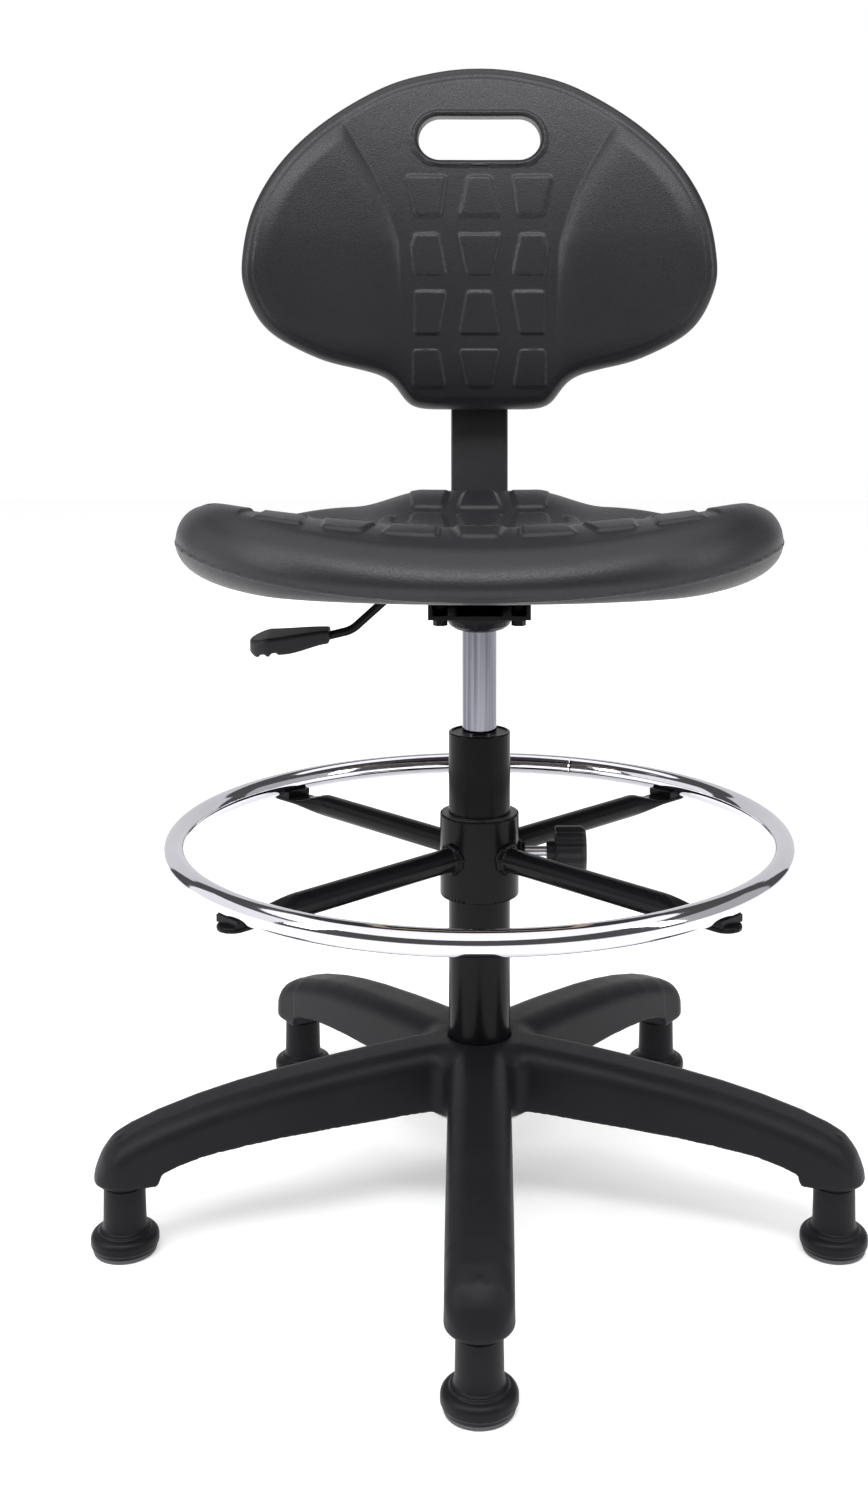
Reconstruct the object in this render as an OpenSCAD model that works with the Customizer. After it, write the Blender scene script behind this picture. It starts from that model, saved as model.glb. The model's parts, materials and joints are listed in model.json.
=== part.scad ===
// Drafting chair: moulded seat and backrest on a gas lift, with a chromed foot ring
// and a five-leg base on glides. Millimetres, +Z up, the chair faces -Y, and the
// origin is on the floor under the column's axis.

/* [Base] */
// Distance from the column's axis to each glide
glide_circle_r = 287; // [270:1:300]
// Height of the underside of each leg's end above the floor
leg_end_z = 55.6; // [50:0.1:60]
// Height of the hub's top above the floor
hub_top_z = 134; // [128:1:140]
// Width of a leg at the hub
leg_root_w = 52; // [48:1:56]
// Width of a leg at its end
leg_tip_w = 45; // [42:1:46]
// Diameter of a glide's foot
glide_foot_d = 52; // [46:1:56]

/* [Column and gas lift] */
// Outer diameter of the column
column_d = 50; // [50:0.5:51]
// Height of the column's top above the floor
column_top_z = 383.5; // [375:0.5:390]
// Diameter of the gas cylinder
cylinder_d = 28; // [27.5:0.1:28.5]
// How far the gas lift rises
lift_stroke = 254; // [200:1:254]

/* [Foot ring] */
// Outer diameter of the hoop
hoop_d = 508; // [480:1:520]
// Diameter of the hoop's tube and of the spokes' tube
ring_tube_d = 19; // [17:0.5:20]
// Height of the hoop's centre above the floor
hoop_z = 296; // [270:1:300]
// Outer diameter of the collar
collar_d = 64; // [64:0.5:66]

/* [Seat] */
// Width of the seat
seat_w = 472; // [440:1:490]
// Height of the seat's lowest moulded edge above the floor
seat_bottom_z = 514; // [512:1:516]

/* [Backrest] */
// Width of the backrest
back_w = 422; // [400:1:430]
// How far the backrest slides up its bar
back_travel = 76; // [40:1:76]
// How far the back bar slides rearwards
bar_out = 30; // [10:1:30]
// How far the back bar slides forwards
bar_in = 15; // [5:1:15]
// Width of the back bar
bar_w = 53; // [48:1:54]

/* [Hidden] */

smooth = 64;            // facets of a round face in the preview
eps = 0.1;              // overshoot of a cutting tool
slip = 0.05;            // radial clearance of parts that turn in each other
black = [0.06, 0.06, 0.065];
dark_steel = [0.12, 0.12, 0.13];
steel = [0.62, 0.63, 0.65];
chrome = [0.85, 0.86, 0.88];
nylon = [0.25, 0.25, 0.27];

// ---------- shared shapes ----------

// A tube along +Z from the height z0 to z1
module tube(z0, z1, outer_r, inner_r) {
    translate([0, 0, z0]) difference() {
        cylinder(h = z1 - z0, r = outer_r, $fn = smooth);
        translate([0, 0, -eps]) cylinder(h = z1 - z0 + 2 * eps, r = inner_r, $fn = smooth);
    }
}

// A round bar along +Z from the height z0 to z1
module rod(z0, z1, r0, r1 = undef) {
    top_r = is_undef(r1) ? r0 : r1;
    translate([0, 0, z0]) cylinder(h = z1 - z0, r1 = r0, r2 = top_r, $fn = smooth);
}

// A round bar between two points in the XZ plane, at the depth y
module bar_xz(a, b, r) {
    run = b - a;
    translate([a[0], 0, a[1]])
        rotate([0, atan2(run[0], run[1]), 0])
            cylinder(h = norm(run), r = r, $fn = 32);
}

// A hexagon across its flats
module hex(af, h) {
    cylinder(h = h, r = af / 2 / cos(30), $fn = 6);
}

// A screw pointing up, its head's seat at z = 0
module hex_bolt(shank_r, shank_l, af, head_h) {
    rod(-eps, shank_l, shank_r);
    translate([0, 0, -head_h]) hex(af, head_h - 1);
    rod(-1.2, 0, af / 2 + 1.4);
}

// A ribbed hand knob: its face is at z = 0 and it grows along +Z
module knob_head(r, h, hub_r, hub_h, flutes) {
    difference() {
        union() {
            rod(0, hub_h, hub_r);
            rod(hub_h, hub_h + 2, r - 2, r);
            rod(hub_h + 2, hub_h + h - 3, r);
            rod(hub_h + h - 3, hub_h + h, r, r - 3);
        }
        for (k = [0 : flutes - 1]) rotate(k * 360 / flutes)
            translate([r + 1.6, 0, hub_h - eps]) cylinder(h = h + 1, r = 3.2, $fn = 24);
    }
}

function smoothstep(a, b, t) = let (u = min(1, max(0, (t - a) / (b - a)))) u * u * (3 - 2 * u);

// A smooth closed curve through points, with n steps from each point to the next
function catmull(p0, p1, p2, p3, t) = 0.5 * (
    2 * p1 + (p2 - p0) * t + (2 * p0 - 5 * p1 + 4 * p2 - p3) * t * t
    + (3 * p1 - p0 - 3 * p2 + p3) * t * t * t);
function loop_through(pts, n) = let (m = len(pts)) [
    for (i = [0 : m - 1]) for (k = [0 : n - 1])
        catmull(pts[(i + m - 1) % m], pts[i], pts[(i + 1) % m], pts[(i + 2) % m], k / n)];
// The whole outline, from its right half given from the first point on the axis to the last
function mirrored(half) = concat(half, [
    for (i = [len(half) - 2 : -1 : 1]) [-half[i][0], half[i][1]]]);

// A closed solid from rings of equally many points, from its first cap to its last
module ringed_solid(rings) {
    n = len(rings[0]);
    m = len(rings);
    points = [for (ring = rings) each ring];
    sides = [for (j = [0 : m - 2]) for (i = [0 : n - 1]) let (k = (i + 1) % n) each [
        [j * n + i, j * n + k, (j + 1) * n + k],
        [j * n + i, (j + 1) * n + k, (j + 1) * n + i]]];
    first_cap = [for (i = [1 : n - 2]) [0, i + 1, i]];
    last_cap = [for (i = [1 : n - 2]) [(m - 1) * n, (m - 1) * n + i, (m - 1) * n + i + 1]];
    polyhedron(points = points, faces = concat(sides, first_cap, last_cap), convexity = 6);
}

// ---------- base ----------

leg_angles = [-90, -18, 54, 126, 198];
leg_wall = 4;
// height of a leg's top below the hub's top, along its length
leg_drop = [[0, 0], [44, 0.8], [67, 2], [117, 6], [166, 13], [198, 17.5], [229, 24], [260, 32.5],
    [287, 42], [300, 49], [308, 58], [311, 68]];
// height of a leg's underside above its end's underside
leg_lift = [[250, 16], [229, 19], [198, 22.5], [166, 25], [117, 27], [67, 29], [0, 29]];
leg_end_r = 24;
hub_r = 44;
hub_bottom_z = 80;
taper = 1.55 / 62;      // the column's lower end narrows by this much for each millimetre
column_bottom_z = 66;
column_floor_h = 3;
column_r = column_d / 2;
column_inner_r = column_r - 2.5;
stem_r = 5.5;
stem_top_z = 84;

// A leg's side outline below a skin of the given thickness, with the distance from the axis along X
module leg_side(skin) {
    polygon(concat(
        [for (p = leg_drop) [p[0], hub_top_z - skin - p[1]]],
        [[311, leg_end_z], [262, leg_end_z]],
        [for (p = leg_lift) [p[0], leg_end_z + p[1]]]));
}

// A leg's plan outline, with the distance from the axis along X
module leg_plan(inset) {
    polygon([[0, leg_root_w / 2 - inset], [0, inset - leg_root_w / 2],
        [glide_circle_r, inset - leg_tip_w / 2], [glide_circle_r, leg_tip_w / 2 - inset]]);
}

module leg_outer() {
    intersection() {
        union() {
            linear_extrude(hub_top_z) leg_plan(0);
            translate([glide_circle_r, 0, 0]) cylinder(h = hub_top_z, r = leg_end_r, $fn = smooth);
        }
        rotate([90, 0, 0]) translate([0, 0, -leg_root_w / 2]) linear_extrude(leg_root_w)
            leg_side(0);
    }
    // the cup that the glide's stem goes up into
    intersection() {
        translate([glide_circle_r, 0, leg_end_z]) cylinder(h = 30, r = leg_end_r, $fn = smooth);
        translate([glide_circle_r, 0, leg_end_z]) cylinder(h = 30, r1 = 20.5, r2 = 50, $fn = smooth);
    }
}

// The hollow under a leg, crossed by ribs
module leg_hollow() {
    rib_t = 3;
    start = hub_r - 4;
    end = glide_circle_r - leg_end_r - 3;
    bays = 4;
    bay = (end - start) / bays;
    for (k = [0 : bays - 1]) intersection() {
        linear_extrude(hub_top_z) leg_plan(leg_wall);
        translate([start + k * bay + rib_t / 2, -50, 0]) cube([bay - rib_t, 100, hub_top_z]);
        rotate([90, 0, 0]) translate([0, 0, -leg_root_w / 2]) linear_extrude(leg_root_w) polygon(concat(
            [for (p = leg_drop) if (p[0] < 290) [p[0], hub_top_z - leg_wall - p[1]]], [[287, 10], [0, 10]]));
    }
}

module star_base() {
    color(black) difference() {
        union() {
            rod(hub_bottom_z, hub_top_z - 6, hub_r, hub_r - 2);
            rod(hub_top_z - 6, hub_top_z, hub_r - 2, hub_r - 8);
            for (a = leg_angles) rotate(a) leg_outer();
        }
        for (a = leg_angles) rotate(a) difference() {
            leg_hollow();
            rod(0, hub_top_z + 1, hub_r - 6);
        }
        // the tapered seat of the column
        rod(hub_bottom_z - 4, hub_top_z, column_r - taper * (hub_top_z - hub_bottom_z + 4) + slip,
            column_r + slip);
        translate([0, 0, hub_top_z - eps]) cylinder(h = 5, r = column_r + slip, $fn = smooth);
        for (a = leg_angles) rotate(a) translate([glide_circle_r, 0, leg_end_z - eps])
            cylinder(h = stem_top_z - leg_end_z + eps, r = stem_r, $fn = smooth);
    }
}

module hub_ring() {
    color(dark_steel) tube(hub_bottom_z - 3, hub_bottom_z, hub_r - 1, column_r + 4);
}

// A glide's moulded body, standing on its pad at the origin
module glide_body() {
    foot_r = glide_foot_d / 2;
    waist_r = 16.4;
    neck_r = 15.6;
    pad_h = 3;
    color(black) difference() {
        rotate_extrude($fn = smooth) union() {
            polygon([[0, pad_h], [foot_r - 1.2, pad_h], [foot_r - 0.6, 7], [foot_r - 2.5, 15],
                [waist_r + 1.5, 18.5], [waist_r, 21], [neck_r, leg_end_z], [0, leg_end_z]]);
            translate([foot_r - 5, 10.2]) circle(r = 5, $fn = 48);
        }
        translate([0, 0, 30]) cylinder(h = 40, r = stem_r, $fn = smooth);
    }
}

module glide(k) {
    rotate(leg_angles[k]) translate([glide_circle_r, 0, 0]) glide_body();
}

module glide_stems() {
    color(steel) for (a = leg_angles) rotate(a) translate([glide_circle_r, 0, 0]) {
        difference() {
            union() {
                rod(30, stem_top_z - 2, stem_r);
                rod(stem_top_z - 2, stem_top_z - 0.4, stem_r, stem_r - 1.6);
            }
            tube(stem_top_z - 12, stem_top_z - 9.5, stem_r + 1, stem_r - 1);
        }
        // the grip ring that holds the stem in its socket
        tube(stem_top_z - 12, stem_top_z - 9.5, stem_r, stem_r - 1);
    }
}

module glide_pads() {
    color(nylon) for (a = leg_angles) rotate(a) translate([glide_circle_r, 0, 0])
        rod(0, 3, glide_foot_d / 2 - 2.4, glide_foot_d / 2 - 1.4);
}

// ---------- column, bearing and gas lift ----------

bearing_z = column_bottom_z + column_floor_h;
race_h = 2;
ball_r = 2.5;
ball_circle_r = 11.5;
cylinder_r = cylinder_d / 2;
cylinder_bottom_z = 84;
cylinder_bore_r = cylinder_r - 1.4;
bush_bottom_z = 300;
socket_bottom_z = 466;
cylinder_top_z = 498;
pin_top_z = 505;
pin_r = 4;
rod_r = 5;
rod_tail_r = 4;
seal_h = 18;
piston_z = cylinder_bottom_z + seal_h + 3 + lift_stroke;
socket_taper = 0.8 / 32;    // the cylinder's nose narrows by this much for each millimetre

module column_tube() {
    low = column_bottom_z;
    color(black) difference() {
        union() {
            rod(low, hub_top_z, column_r - taper * (hub_top_z - low), column_r);
            rod(hub_top_z, column_top_z - 1, column_r);
            rod(column_top_z - 1, column_top_z, column_r, column_r - 1);
        }
        translate([0, 0, low + column_floor_h])
            cylinder(h = hub_top_z - low, r = column_inner_r - 1.2, $fn = smooth);
        translate([0, 0, hub_top_z]) cylinder(h = 300, r = column_inner_r, $fn = smooth);
        translate([0, 0, low - 1]) cylinder(h = 10, r = rod_tail_r + 0.6, $fn = smooth);
    }
}

module column_bush() {
    color(nylon) tube(bush_bottom_z, column_top_z - 1.2, column_inner_r, cylinder_r + slip);
}

module bearing_race_lower() {
    color(steel) tube(bearing_z, bearing_z + race_h, 16, rod_tail_r + 0.4);
}

module bearing_race_upper() {
    z = bearing_z + race_h + 2 * ball_r;
    color(steel) tube(z, z + race_h, 16, rod_tail_r + slip);
}

module bearing_balls() {
    color(steel) for (k = [0 : 8]) rotate(k * 40)
        translate([ball_circle_r, 0, bearing_z + race_h + ball_r]) sphere(r = ball_r - slip, $fn = 24);
}

module bearing_cage() {
    mid = bearing_z + race_h + ball_r;
    color(nylon) difference() {
        tube(mid - 0.8, mid + 0.8, 15.4, 7.6);
        for (k = [0 : 8]) rotate(k * 40) translate([ball_circle_r, 0, mid - 3])
            cylinder(h = 6, r = ball_r + slip, $fn = 24);
    }
}

module piston_rod() {
    step_z = bearing_z + 2 * race_h + 2 * ball_r;
    color(steel) difference() {
        union() {
            rod(57, step_z, rod_tail_r);
            rod(step_z, piston_z + 12, rod_r);
        }
        tube(61.5, 63, rod_tail_r + 1, rod_tail_r - 0.9);
        tube(piston_z, piston_z + 12 + eps, rod_r + 1, rod_r - 1);
    }
}

module piston() {
    color(dark_steel) tube(piston_z, piston_z + 12, cylinder_bore_r - slip, rod_r - 1);
}

module bump_stop() {
    z = bearing_z + 2 * race_h + 2 * ball_r;
    color(black) tube(z, cylinder_bottom_z - 0.3, 13, rod_r);
}

// The clip in the rod's groove, and the washer between it and the column's floor
module rod_clip() {
    color(steel) {
        difference() {
            tube(61.5, 63, 9, rod_tail_r - 0.9);
            translate([0, -rod_tail_r + 1.2, 60]) cube([20, 2 * (rod_tail_r - 1.2), 5]);
        }
        tube(63.1, column_bottom_z - 0.1, 13, rod_tail_r + slip);
    }
}

module gas_cylinder() {
    nose_r = cylinder_r - socket_taper * (cylinder_top_z - socket_bottom_z);
    color(steel) difference() {
        union() {
            rod(cylinder_bottom_z, socket_bottom_z, cylinder_r);
            rod(socket_bottom_z, cylinder_top_z, cylinder_r, nose_r);
        }
        translate([0, 0, cylinder_bottom_z - eps])
            cylinder(h = socket_bottom_z + 4 - cylinder_bottom_z + eps, r = cylinder_bore_r, $fn = smooth);
        translate([0, 0, 480]) cylinder(h = 30, r = pin_r + slip, $fn = smooth);
    }
}

module cylinder_seal() {
    z = cylinder_bottom_z;
    color(dark_steel) tube(z, z + seal_h, cylinder_bore_r, rod_r + slip);
}

module release_pin() {
    dome_r = 6;
    color(steel) intersection() {
        rod(487, pin_top_z, pin_r);
        translate([0, 0, pin_top_z - dome_r]) union() {
            sphere(r = dome_r, $fn = smooth);
            rod(-30, 0, dome_r);
        }
    }
}

// ---------- seat mechanism and lever ----------

box_half_w = 40;
box_front_y = -52;
box_rear_y = 112;
box_bottom_z = 482;
box_wall = 3;
plate_z = 515;
plate_h = 3;
plate_bolts = [for (x = [-80, 80]) for (y = [-70, 90]) [x, y]];
socket_bolts = [for (x = [-31, 31]) for (y = [-26, 26]) [x, y]];
lever_r = 3.5;
lever_gap = 0.3;
lever_z = pin_top_z + lever_gap + lever_r;
lever_pivot_x = -box_half_w + box_wall / 2;
lever_path = [[30, lever_z], [-55, lever_z], [-103, 465.5], [-136, 457.5]];
bar_t = 8;
bar_bottom_z = 488.3;
clamp_y = 88;
clamp_nut_h = 6;
thread_r = 4;
pad_r = 3.2;

module mechanism_box() {
    length = box_rear_y - box_front_y;
    color(dark_steel) difference() {
        translate([-box_half_w, box_front_y, box_bottom_z])
            cube([2 * box_half_w, length, plate_z - box_bottom_z]);
        translate([-box_half_w + box_wall, box_front_y - eps, box_bottom_z + box_wall])
            cube([2 * (box_half_w - box_wall), length + 2 * eps, 60]);
        translate([0, 0, box_bottom_z - 1]) cylinder(h = 10, r = 19 + slip, $fn = smooth);
        translate([0, clamp_y, box_bottom_z - 1]) cylinder(h = 10, r = thread_r + slip, $fn = 32);
        translate([-box_half_w - 1, 0, lever_z]) rotate([0, 90, 0])
            cylinder(h = box_wall + 2, r = lever_r + 2.2, $fn = 32);
        for (p = socket_bolts) translate([p[0], p[1], box_bottom_z - 1])
            cylinder(h = 10, r = 3.1, $fn = 32);
    }
    // the welded nut of the depth screw
    color(dark_steel) translate([0, clamp_y, box_bottom_z - clamp_nut_h]) difference() {
        hex(15, clamp_nut_h);
        translate([0, 0, -1]) cylinder(h = clamp_nut_h + 2, r = thread_r + slip, $fn = 32);
    }
}

module mechanism_socket() {
    bowl_r = 27.5;
    flange_z = 479.2;
    color(dark_steel) difference() {
        union() {
            rotate_extrude($fn = smooth) polygon([[0, socket_bottom_z], [16, socket_bottom_z],
                [20.5, socket_bottom_z + 1.6], [24.2, socket_bottom_z + 4.4], [26.6, socket_bottom_z + 8.4],
                [bowl_r, flange_z], [0, flange_z]]);
            translate([-box_half_w, -33, flange_z]) cube([2 * box_half_w, 66, box_bottom_z - flange_z]);
            rod(flange_z, cylinder_top_z - 1, 19);
        }
        rod(socket_bottom_z - 1, cylinder_top_z + 1, cylinder_r + socket_taper,
            cylinder_r - socket_taper * (cylinder_top_z + 1 - socket_bottom_z));
        for (p = socket_bolts) translate([p[0], p[1], flange_z - 1]) cylinder(h = 6, r = 3.1, $fn = 32);
    }
}

module mechanism_bolts() {
    color(steel) for (p = socket_bolts) translate([p[0], p[1], 479.2]) difference() {
        union() {
            hex_bolt(3, 12, 10, 5.4);
            translate([0, 0, box_bottom_z + box_wall - 479.2]) hex(10, 5);
        }
    }
}

module seat_plate() {
    color(dark_steel) difference() {
        translate([-98, -88, plate_z]) cube([196, 196, plate_h]);
        for (p = plate_bolts) translate([p[0], p[1], plate_z - 1]) cylinder(h = 6, r = 3.4, $fn = 32);
    }
}

module lever_bush() {
    color(nylon) translate([-box_half_w - 1, 0, lever_z]) rotate([0, 90, 0])
        tube(0, box_wall + 2, lever_r + 2.15, lever_r + 0.7);
}

module lever_rod() {
    color(black) {
        for (k = [0 : len(lever_path) - 2]) bar_xz(lever_path[k], lever_path[k + 1], lever_r);
        for (k = [1 : len(lever_path) - 2])
            translate([lever_path[k][0], 0, lever_path[k][1]]) sphere(r = lever_r, $fn = 32);
    }
}

// The hand grip: a flat top that widens outwards, with finger hollows under its tip
module lever_paddle() {
    inner_x = -120;
    outer_x = -185;
    color(black) difference() {
        intersection() {
            rotate([90, 0, 0]) translate([0, 0, -20]) linear_extrude(40) difference() {
                polygon([[inner_x, 467], [-150, 465], [-176, 462.5], [outer_x, 457],
                    [outer_x, 449], [-179, 445], [-158, 447.5], [inner_x, 455.5]]);
                for (x = [-173.5, -164.5]) translate([x, 443.4]) circle(r = 3.4, $fn = 32);
            }
            linear_extrude(600) union() {
                polygon([[inner_x, -8], [inner_x, 8], [-169, 16], [-169, -16]]);
                translate([-169, 0]) circle(r = 16, $fn = smooth);
            }
        }
        bar_xz(lever_path[2], lever_path[3] + [-0.4, -0.1], lever_r);
    }
}

module bar_guide() {
    half = bar_w / 2 + 0.4;
    color(dark_steel) translate([0, 0, box_bottom_z + box_wall]) difference() {
        translate([-half - 3, 62, 0]) cube([2 * half + 6, 48, 16]);
        translate([-half, 61, bar_bottom_z - 0.3 - box_bottom_z - box_wall])
            cube([2 * half, 50, bar_t + 0.6]);
        translate([0, clamp_y, -1]) cylinder(h = 5, r = thread_r + 0.2, $fn = 32);
    }
}

// ---------- seat ----------

seat_insert_z = plate_z + plate_h;
seat_insert_h = 9;
seat_edge_r = 27;
seat_centre = [0, -10];
seat_half = [[0, -206], [75, -200], [140, -181], [192, -146], [224, -98], [seat_w / 2, -40],
    [seat_w / 2 - 4, 20], [214, 80], [182, 132], [136, 170], [84, 189], [0, 199]];

// Height of the top surface over the plan
function seat_top(x, y) = let (
    ax = abs(x),
    crest = 22 * (1 - smoothstep(-115, 45, y)),
    fall = y < -115 ? 28 * pow((-115 - y) / 100, 2) : 0,
    lobe = 1 - smoothstep(48, 112, ax),
    lip = 25 * smoothstep(58, 158, y) * lobe + 11 * smoothstep(80, 160, y) * (1 - lobe),
    side = 19 * pow(ax / 211, 1.9) * (1 - 0.75 * smoothstep(-60, 120, y))
) 538 + crest - fall + lip + side;
// Height of the underside over the plan
function seat_under(x, y) = seat_bottom_z + 15 * smoothstep(110, 240, abs(x));
// How full the rounded edge is at a distance from the outline
function edge_fill(d, r) = d >= r ? 1 : sqrt(1 - pow(1 - d / r, 2));
function seat_point(p, d, upper) = let (
    v = p - seat_centre,
    q = seat_centre + v * (1 - d / norm(v)),
    t = seat_top(q[0], q[1]),
    u = seat_under(q[0], q[1]),
    mid = u + 0.42 * (t - u),
    f = edge_fill(d, seat_edge_r)
) [q[0], q[1], upper ? mid + (t - mid) * f : mid - (mid - u) * f];
// A share of the way from the outline to the centre, past the rounded edge
function seat_inner(p, share, upper) = let (
    d = seat_edge_r + share * (norm(p - seat_centre) - seat_edge_r)
) seat_point(p, d, upper);

module seat_body() {
    outline = loop_through(mirrored(seat_half), 2);
    edge = [for (a = [75 : -25 : 0]) seat_edge_r * (1 - sin(a))];
    rings = concat(
        [for (s = [0.97, 0.55, 0.25]) [for (p = outline) seat_inner(p, s, false)]],
        [for (k = [len(edge) - 1 : -1 : 0]) [for (p = outline) seat_point(p, edge[k], false)]],
        [[for (p = outline) seat_point(p, 0, true)]],
        [for (d = edge) [for (p = outline) seat_point(p, d, true)]],
        [for (s = [0.15, 0.32, 0.5, 0.7, 0.97]) [for (p = outline) seat_inner(p, s, true)]]);
    ringed_solid(rings);
}

module seat_foam() {
    color(black) difference() {
        seat_body();
        translate([0, 0, 500]) linear_extrude(seat_insert_z + seat_insert_h - 500) insert_plan(0);
    }
}

module insert_plan(grow) {
    half_w = 118 + grow;
    for (k = [0, 1]) {
        translate([-half_w + 25 * k, -118 - grow + 25 * (1 - k)])
            square([2 * (half_w - 25 * k), 236 + 2 * grow - 50 * (1 - k)]);
    }
    for (x = [25 - half_w, half_w - 25]) for (y = [-93 - grow, 93 + grow])
        translate([x, y]) circle(r = 25, $fn = smooth);
}

module seat_insert() {
    color([0.5, 0.4, 0.28]) translate([0, 0, seat_insert_z]) difference() {
        linear_extrude(seat_insert_h) insert_plan(0);
        for (p = plate_bolts) translate([p[0], p[1], 0]) {
            translate([0, 0, -1]) cylinder(h = 20, r = 5, $fn = smooth);
            translate([0, 0, seat_insert_h - 1.3]) cylinder(h = 5, r = 8, $fn = smooth);
        }
    }
}

module seat_bolts() {
    color(steel) for (p = plate_bolts) translate([p[0], p[1], plate_z]) hex_bolt(3, 10.5, 10, 5);
}

module seat_tee_nuts() {
    color(steel) for (p = plate_bolts) translate([p[0], p[1], 0]) {
        tube(seat_insert_z, seat_insert_z + seat_insert_h - 1.3, 5, 3.1);
        tube(seat_insert_z + seat_insert_h - 1.3, seat_insert_z + seat_insert_h, 8, 3.1);
    }
}

// ---------- back bar and its depth clamp ----------

bar_front_y = 45;
bar_bend_r = 42;
bar_bend_y = 188;
bar_rear_y = bar_bend_y + bar_bend_r + bar_t;
bar_top_z = 780;

module back_bar() {
    bend_z = bar_bottom_z + bar_t + bar_bend_r;
    color(black) translate([bar_w / 2, 0, 0]) rotate([0, -90, 0]) linear_extrude(bar_w) union() {
        translate([bar_bottom_z, bar_front_y]) square([bar_t, bar_bend_y - bar_front_y]);
        intersection() {
            translate([bend_z, bar_bend_y]) difference() {
                circle(r = bar_bend_r + bar_t, $fn = 96);
                circle(r = bar_bend_r, $fn = 96);
            }
            translate([bar_bottom_z - 1, bar_bend_y]) square([bend_z - bar_bottom_z + 1, 60]);
        }
        translate([bend_z, bar_bend_y + bar_bend_r]) square([bar_top_z - bend_z, bar_t]);
    }
}

module bar_end_cap() {
    color(black) translate([-bar_w / 2, bar_bend_y + bar_bend_r, bar_top_z]) cube([bar_w, bar_t, 4]);
}

// The pad, screw and knob of a clamp whose screw points along +Z, with the pad's tip at z = 0
pad_h = 2.4;
module clamp_pad() {
    color([0.75, 0.62, 0.3]) rod(0.15, pad_h, pad_r);
}
module clamp_screw(length) {
    color(steel) rod(pad_h, length, thread_r);
}

module under_bar() {
    translate([0, clamp_y, bar_bottom_z]) rotate([180, 0, 0]) children();
}

module depth_pad() { under_bar() clamp_pad(); }
module depth_screw() { under_bar() clamp_screw(17); }
module depth_knob() {
    color(black) under_bar() translate([0, 0, 14.5]) difference() {
        knob_head(17, 10.5, 8, 1.5, 8);
        translate([0, 0, -1]) cylinder(h = 3.5, r = thread_r, $fn = 32);
    }
}

// ---------- backrest ----------

back_centre = [0, 765];
back_edge_r = 12;
back_half = [[0, 634.5], [44, 635.5], [70, 645], [87, 662], [107, 671], [146, 682], [189, 707],
    [back_w / 2 - 2.5, 742], [back_w / 2, 772], [202, 816], [178, 859], [140, 897], [88, 929], [0, 949]];
slot_z = 882;
slot_w = 112;
slot_h = 40;

// Depth of the front surface at a point of the outline's plane
function back_front(x, z) = let (
    belly = z < 730 ? 15 * pow((730 - z) / 95, 2) : 40 * pow((z - 730) / 218, 1.7),
    wrap = 34 * pow(abs(x) / 211, 1.7)
) 181 + belly - wrap;
// Depth of the rear surface: flat behind the middle, where the bracket is, then following the wings
function back_rear(x, z) = let (
    flat = bracket_y + 26 * pow(max(0, z - 790) / 158, 1.6),
    rim = back_front(x, z) + 27,
    middle = 1 - smoothstep(45, 120, abs(x))
) z > 870 ? rim + (flat - rim) * middle * (1 - smoothstep(870, 949, z)) : rim + (flat - rim) * middle;
function back_point(p, d, front) = let (
    v = p - back_centre,
    q = back_centre + v * (1 - d / norm(v)),
    f = back_front(q[0], q[1]),
    r = back_rear(q[0], q[1]),
    mid = f + 0.45 * (r - f),
    e = edge_fill(d, back_edge_r)
) [q[0], front ? mid - (mid - f) * e : mid + (r - mid) * e, q[1]];
function back_inner(p, share, front) = let (
    d = back_edge_r + share * (norm(p - back_centre) - back_edge_r)
) back_point(p, d, front);

module back_body() {
    outline = loop_through(mirrored(back_half), 2);
    edge = [for (a = [60 : -30 : 0]) back_edge_r * (1 - sin(a))];
    rings = concat(
        [for (s = [0.97, 0.7, 0.45, 0.2]) [for (p = outline) back_inner(p, s, true)]],
        [for (k = [len(edge) - 1 : -1 : 0]) [for (p = outline) back_point(p, edge[k], true)]],
        [[for (p = outline) back_point(p, 0, false)]],
        [for (d = edge) [for (p = outline) back_point(p, d, false)]],
        [for (s = [0.2, 0.45, 0.7, 0.97]) [for (p = outline) back_inner(p, s, false)]]);
    ringed_solid(rings);
}

module slot_plan(grow) {
    r = slot_h / 2 + grow;
    reach = slot_w / 2 - slot_h / 2;
    square([2 * reach, 2 * r], center = true);
    for (s = [-1, 1]) translate([s * reach, 0]) circle(r = r, $fn = smooth);
}

insert_y = 206;
bracket_y = 224;
bracket_bottom_z = 655;
bracket_top_z = 745;
bracket_mid_z = 700;
bracket_screw_at = [for (x = [-38, 38]) for (z = [668, 732]) [x, z]];

module back_foam() {
    color(black) difference() {
        back_body();
        translate([0, 300, slot_z]) rotate([90, 0, 0]) linear_extrude(200) slot_plan(0);
        translate([-52, insert_y, 648]) cube([104, 40, 104]);
    }
}

module back_insert() {
    color([0.5, 0.4, 0.28]) difference() {
        translate([-52, insert_y, 648]) cube([104, bracket_y - insert_y, 104]);
        for (p = bracket_screw_at) translate([p[0], bracket_y + 1, p[1]]) rotate([90, 0, 0])
            cylinder(h = 15, r = 3, $fn = 32);
    }
}

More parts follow.
